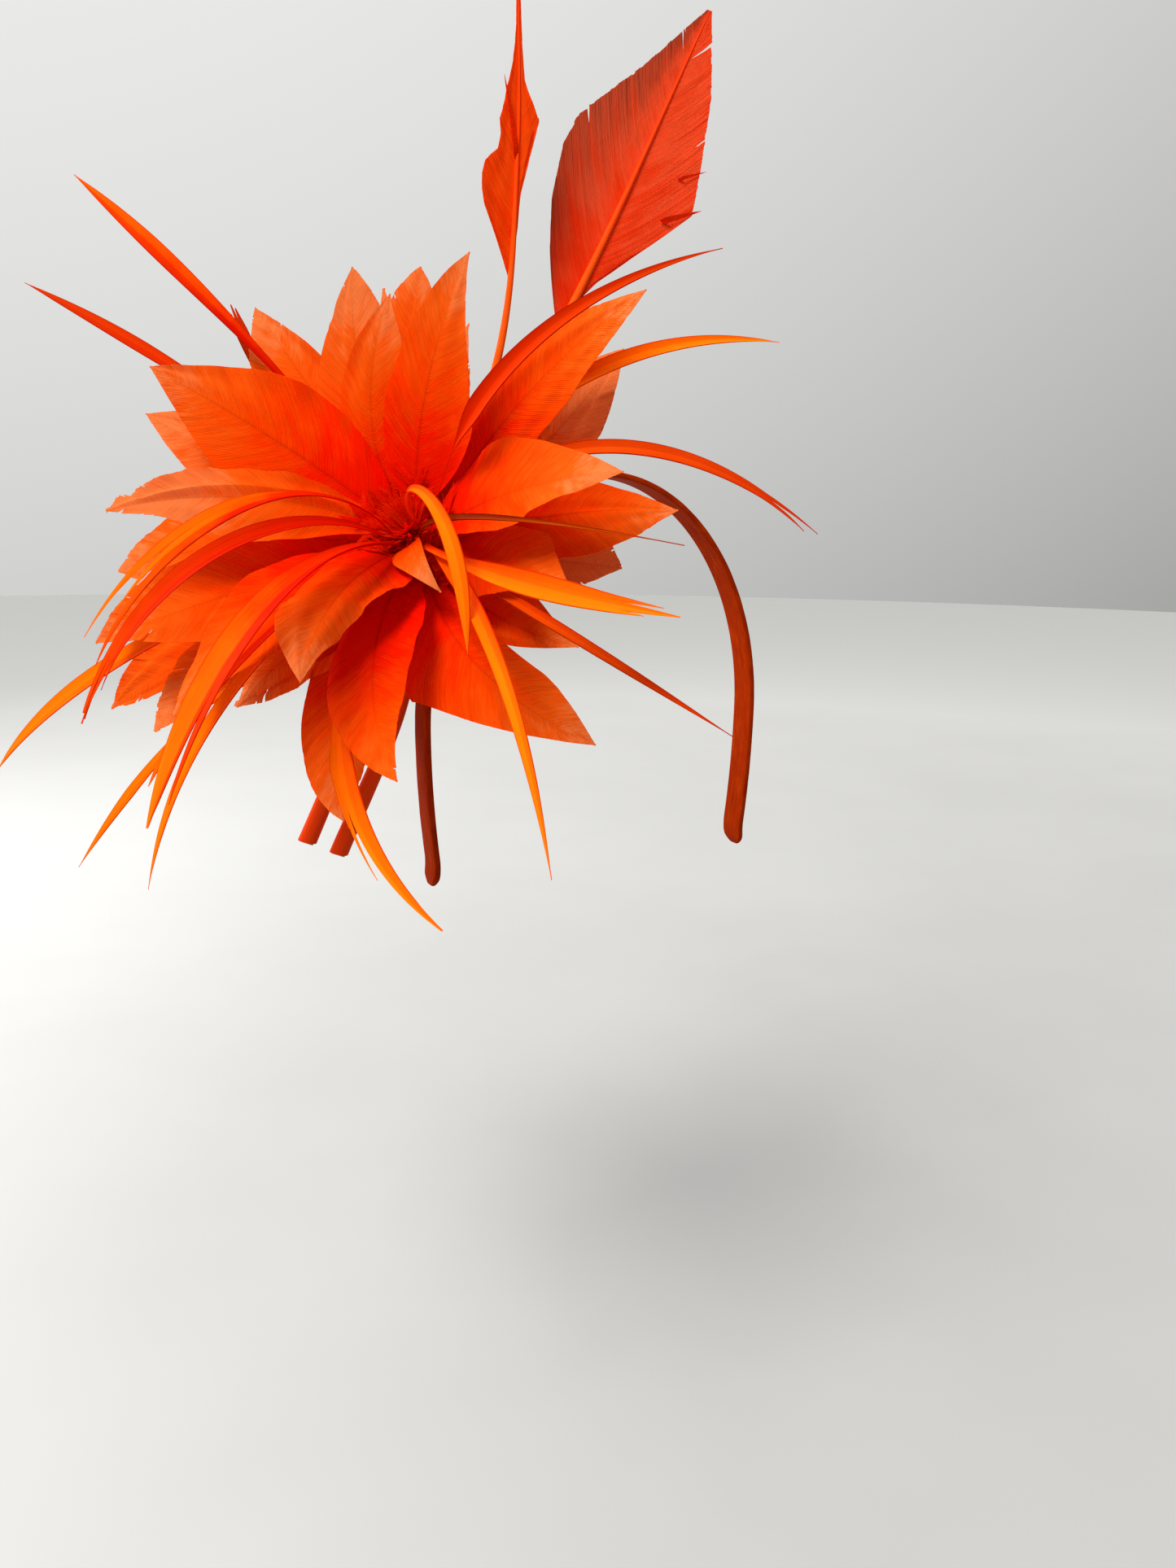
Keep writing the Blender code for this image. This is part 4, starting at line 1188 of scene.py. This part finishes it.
def floor_material():
    """A pale floor with painted shade: darker near the middle, under the object, and lighter far out so that
    it runs into the surround.
    """
    n = Nodes("floor_look")
    grain = n.cloud(3.0)
    away = n.add("VectorMath", operation="LENGTH")
    n.put(n.add("TexCoord").outputs["Object"], away.inputs[0])
    far = n.spread(n.math("DIVIDE", away.outputs["Value"], 3.0), 0.0, 1.0)
    tone = n.plus(far, n.swing(grain, 0.1))
    # Painted shade: darker near the middle, under the object
    colour = n.ramp(tone, (0.1, (0.35, 0.35, 0.345)), (0.8, (0.92, 0.92, 0.90)))
    n.put(colour, n.shader.inputs["Base Color"])
    n.put(n.spread(grain, 0.55, 0.7), n.shader.inputs["Roughness"])
    return n.mat


# Stage, lights and camera


def new_object(name, data):
    obj = bpy.data.objects.new(name, data)
    bpy.context.scene.collection.objects.link(obj)
    return obj


def placed(place, axes):
    """The matrix of an object at a place, with its own x, y and z along three axes."""
    return Matrix.Translation(place) @ Matrix([list(v) for v in axes]).transposed().to_4x4()


def camera_axes():
    """The camera's directions to the right, up and back, away from what it sees."""
    a, e, r = np.radians([CAMERA_AZIMUTH, CAMERA_ELEVATION, CAMERA_ROLL])
    back = np.array([np.sin(a) * np.cos(e), -np.cos(a) * np.cos(e), np.sin(e)])
    right = np.array([np.cos(a), np.sin(a), 0.0])
    up = np.cross(back, right)
    return np.cos(r) * right + np.sin(r) * up, -np.sin(r) * right + np.cos(r) * up, back


def add_camera():
    data = bpy.data.cameras.new("camera")
    data.sensor_width = SENSOR
    data.lens = FOCAL_PIXELS * SENSOR / IMAGE_LONG_SIDE
    data.clip_start = 0.01
    data.clip_end = 50.0
    cam = new_object("camera", data)
    cam.matrix_world = placed(CAMERA_PLACE, camera_axes())
    bpy.context.scene.camera = cam


def add_floor():
    angle = math.tau * np.arange(FLOOR_SIDES) / FLOOR_SIDES
    rim = [(FLOOR_RADIUS * math.cos(a), FLOOR_RADIUS * math.sin(a), FLOOR_HEIGHT) for a in angle]
    mesh = bpy.data.meshes.new("floor")
    mesh.from_pydata(rim, [], [tuple(range(FLOOR_SIDES))])
    mesh.materials.append(floor_material())
    floor = new_object("floor", mesh)


def add_light(name, place, size, power, colour):
    """A round light that faces the flower."""
    data = bpy.data.lights.new(name, "AREA")
    data.shape = "DISK"
    data.size = size
    data.energy = power
    data.color = colour
    back = unit(np.array(place) - np.array(LIGHT_TARGET))
    right = unit(np.cross((0.0, 0.0, 1.0), back))
    new_object(name, data).matrix_world = placed(place, (right, np.cross(back, right), back))


def add_world():
    """A soft pale surround, brighter above and behind the object than in front of it."""
    world = bpy.data.worlds.new("studio")
    world.use_nodes = True
    nodes = world.node_tree.nodes
    links = world.node_tree.links
    place = nodes.new("ShaderNodeTexCoord")
    towards = nodes.new("ShaderNodeVectorMath")
    towards.operation = "DOT_PRODUCT"
    towards.inputs[1].default_value = BRIGHT_SIDE
    ramp = nodes.new("ShaderNodeValToRGB")
    dark, bright = ramp.color_ramp.elements
    dark.position = 0.0
    dark.color = SURROUND_DARK
    bright.position = 1.0
    bright.color = SURROUND_BRIGHT
    links.new(place.outputs["Generated"], towards.inputs[0])
    links.new(towards.outputs["Value"], ramp.inputs[0])
    links.new(ramp.outputs[0], nodes["Background"].inputs["Color"])
    nodes["Background"].inputs["Strength"].default_value = 1.0
    bpy.context.scene.world = world


# Colours at places along a feather
# Petals: the deep red towards the foot is partly painted shade between the feathers, the pale tip partly
# painted light through them
PETAL_STOPS = (
    (0.05, (1.0, 0.002, 0.0)),
    (0.32, (1.0, 0.016, 0.0)),
    (0.60, (1.0, 0.085, 0.0005)),
    (0.85, (1.0, 0.155, 0.008)),
    (1.0, (1.0, 0.28, 0.07)),
)
CORAL_STOPS = (
    (0.58, (0.92, 0.035, 0.003)),
    (0.72, (0.95, 0.060, 0.010)),
    (0.88, (0.97, 0.105, 0.03)),
    (1.0, (0.93, 0.07, 0.015)),
)
BRIGHT_STOPS = (
    (0.60, (0.90, 0.030, 0.001)),
    (0.70, (1.0, 0.065, 0.001)),
    (0.80, (1.0, 0.10, 0.004)),
    (1.0, (1.0, 0.07, 0.004)),
)
SHAFT_STOPS = (
    (0.0, (0.60, 0.035, 0.002)),
    (0.15, (0.66, 0.042, 0.002)),
    (0.3, (0.78, 0.05, 0.001)),
    (0.5, (0.85, 0.11, 0.003)),
    (0.66, (0.88, 0.085, 0.003)),
    (0.8, (0.92, 0.05, 0.003)),
    (1.0, (0.92, 0.04, 0.002)),
)
TUFT_STOPS = (
    (0.0, (1.0, 0.012, 0.0)),
    (0.5, (1.0, 0.030, 0.0)),
    (1.0, (1.0, 0.10, 0.004)),
)
# For each kind of blade how dark the painted shade on the half beyond its fold is, and its colours
BLADE_LOOKS = {
    "light": (0.4, (
        (0.0, (0.90, 0.02, 0.0)),
        (0.35, (0.96, 0.09, 0.0)),
        (0.65, (0.98, 0.17, 0.001)),
        (1.0, (0.98, 0.20, 0.003)),
    )),
    "sunset": (0.95, (
        (0.1, (0.82, 0.006, 0.0)),
        (0.5, (0.90, 0.030, 0.0)),
        (0.7, (0.96, 0.095, 0.001)),
        (1.0, (0.97, 0.16, 0.002)),
    )),
    "ember": (0.4, (
        (0.1, (0.74, 0.004, 0.0)),
        (0.5, (0.62, 0.014, 0.0)),
        (0.8, (0.68, 0.035, 0.001)),
        (1.0, (0.80, 0.06, 0.001)),
    )),
    "dusk": (0.8, (
        (0.3, (0.86, 0.006, 0.0)),
        (0.5, (0.92, 0.030, 0.0)),
        (0.66, (0.98, 0.14, 0.001)),
        (1.0, (0.98, 0.18, 0.003)),
    )),
    "brown": (0.4, (
        (0.0, (0.80, 0.05, 0.0)),
        (0.5, (0.66, 0.06, 0.001)),
        (1.0, (0.50, 0.025, 0.001)),
    )),
    "umber": (0.4, (
        (0.0, (0.32, 0.025, 0.0)),
        (0.5, (0.20, 0.014, 0.0)),
        (1.0, (0.45, 0.05, 0.0)),
    )),
    "dark": (0.4, (
        (0.0, (0.72, 0.012, 0.0)),
        (0.4, (0.70, 0.028, 0.0)),
        (1.0, (0.60, 0.035, 0.001)),
    )),
    "deep": (0.6, (
        (0.0, (0.50, 0.003, 0.0)),
        (0.5, (0.66, 0.010, 0.0)),
        (0.72, (0.86, 0.055, 0.0)),
        (1.0, (0.95, 0.13, 0.002)),
    )),
}


def main():
    add_camera()
    add_floor()
    add_world()
    add_light("key", (-1.1, -0.7, 1.4), 0.8, 48.0, (1.0, 0.98, 0.95))
    add_light("back", (-0.9, 1.2, 0.9), 0.9, 28.0, (1.0, 1.0, 1.0))
    bpy.context.scene.view_settings.view_transform = "Standard"

    petals = feather_material("feather_orange_look", PETAL_STOPS, 0.3, 0.42)
    for number, feather in enumerate(PETALS):
        petal(number, feather, petals)
    blades = {key: blade_material("biot_" + key + "_look", *look) for key, look in BLADE_LOOKS.items()}
    for feather in BIOTS:
        biot(feather, blades)
    coral = feather_material("quill_coral_look", CORAL_STOPS, 0.2, 0.35, 0.4, 0.65)
    bright = feather_material("quill_orange_look", BRIGHT_STOPS, 0.2, 0.42)
    shaft = shaft_material("quill_shaft_look", SHAFT_STOPS)
    pith = pith_material()
    for number, (feather, barbs) in enumerate(zip(QUILLS, (coral, bright))):
        quill(feather, QUILL_SEED + number, [shaft, barbs, pith])
    headband([satin_material()])
    feather_base([felt_material(), thread_material()])
    centre_tuft([feather_material("tuft_red_look", TUFT_STOPS, 0.0, 0.65)])


main()
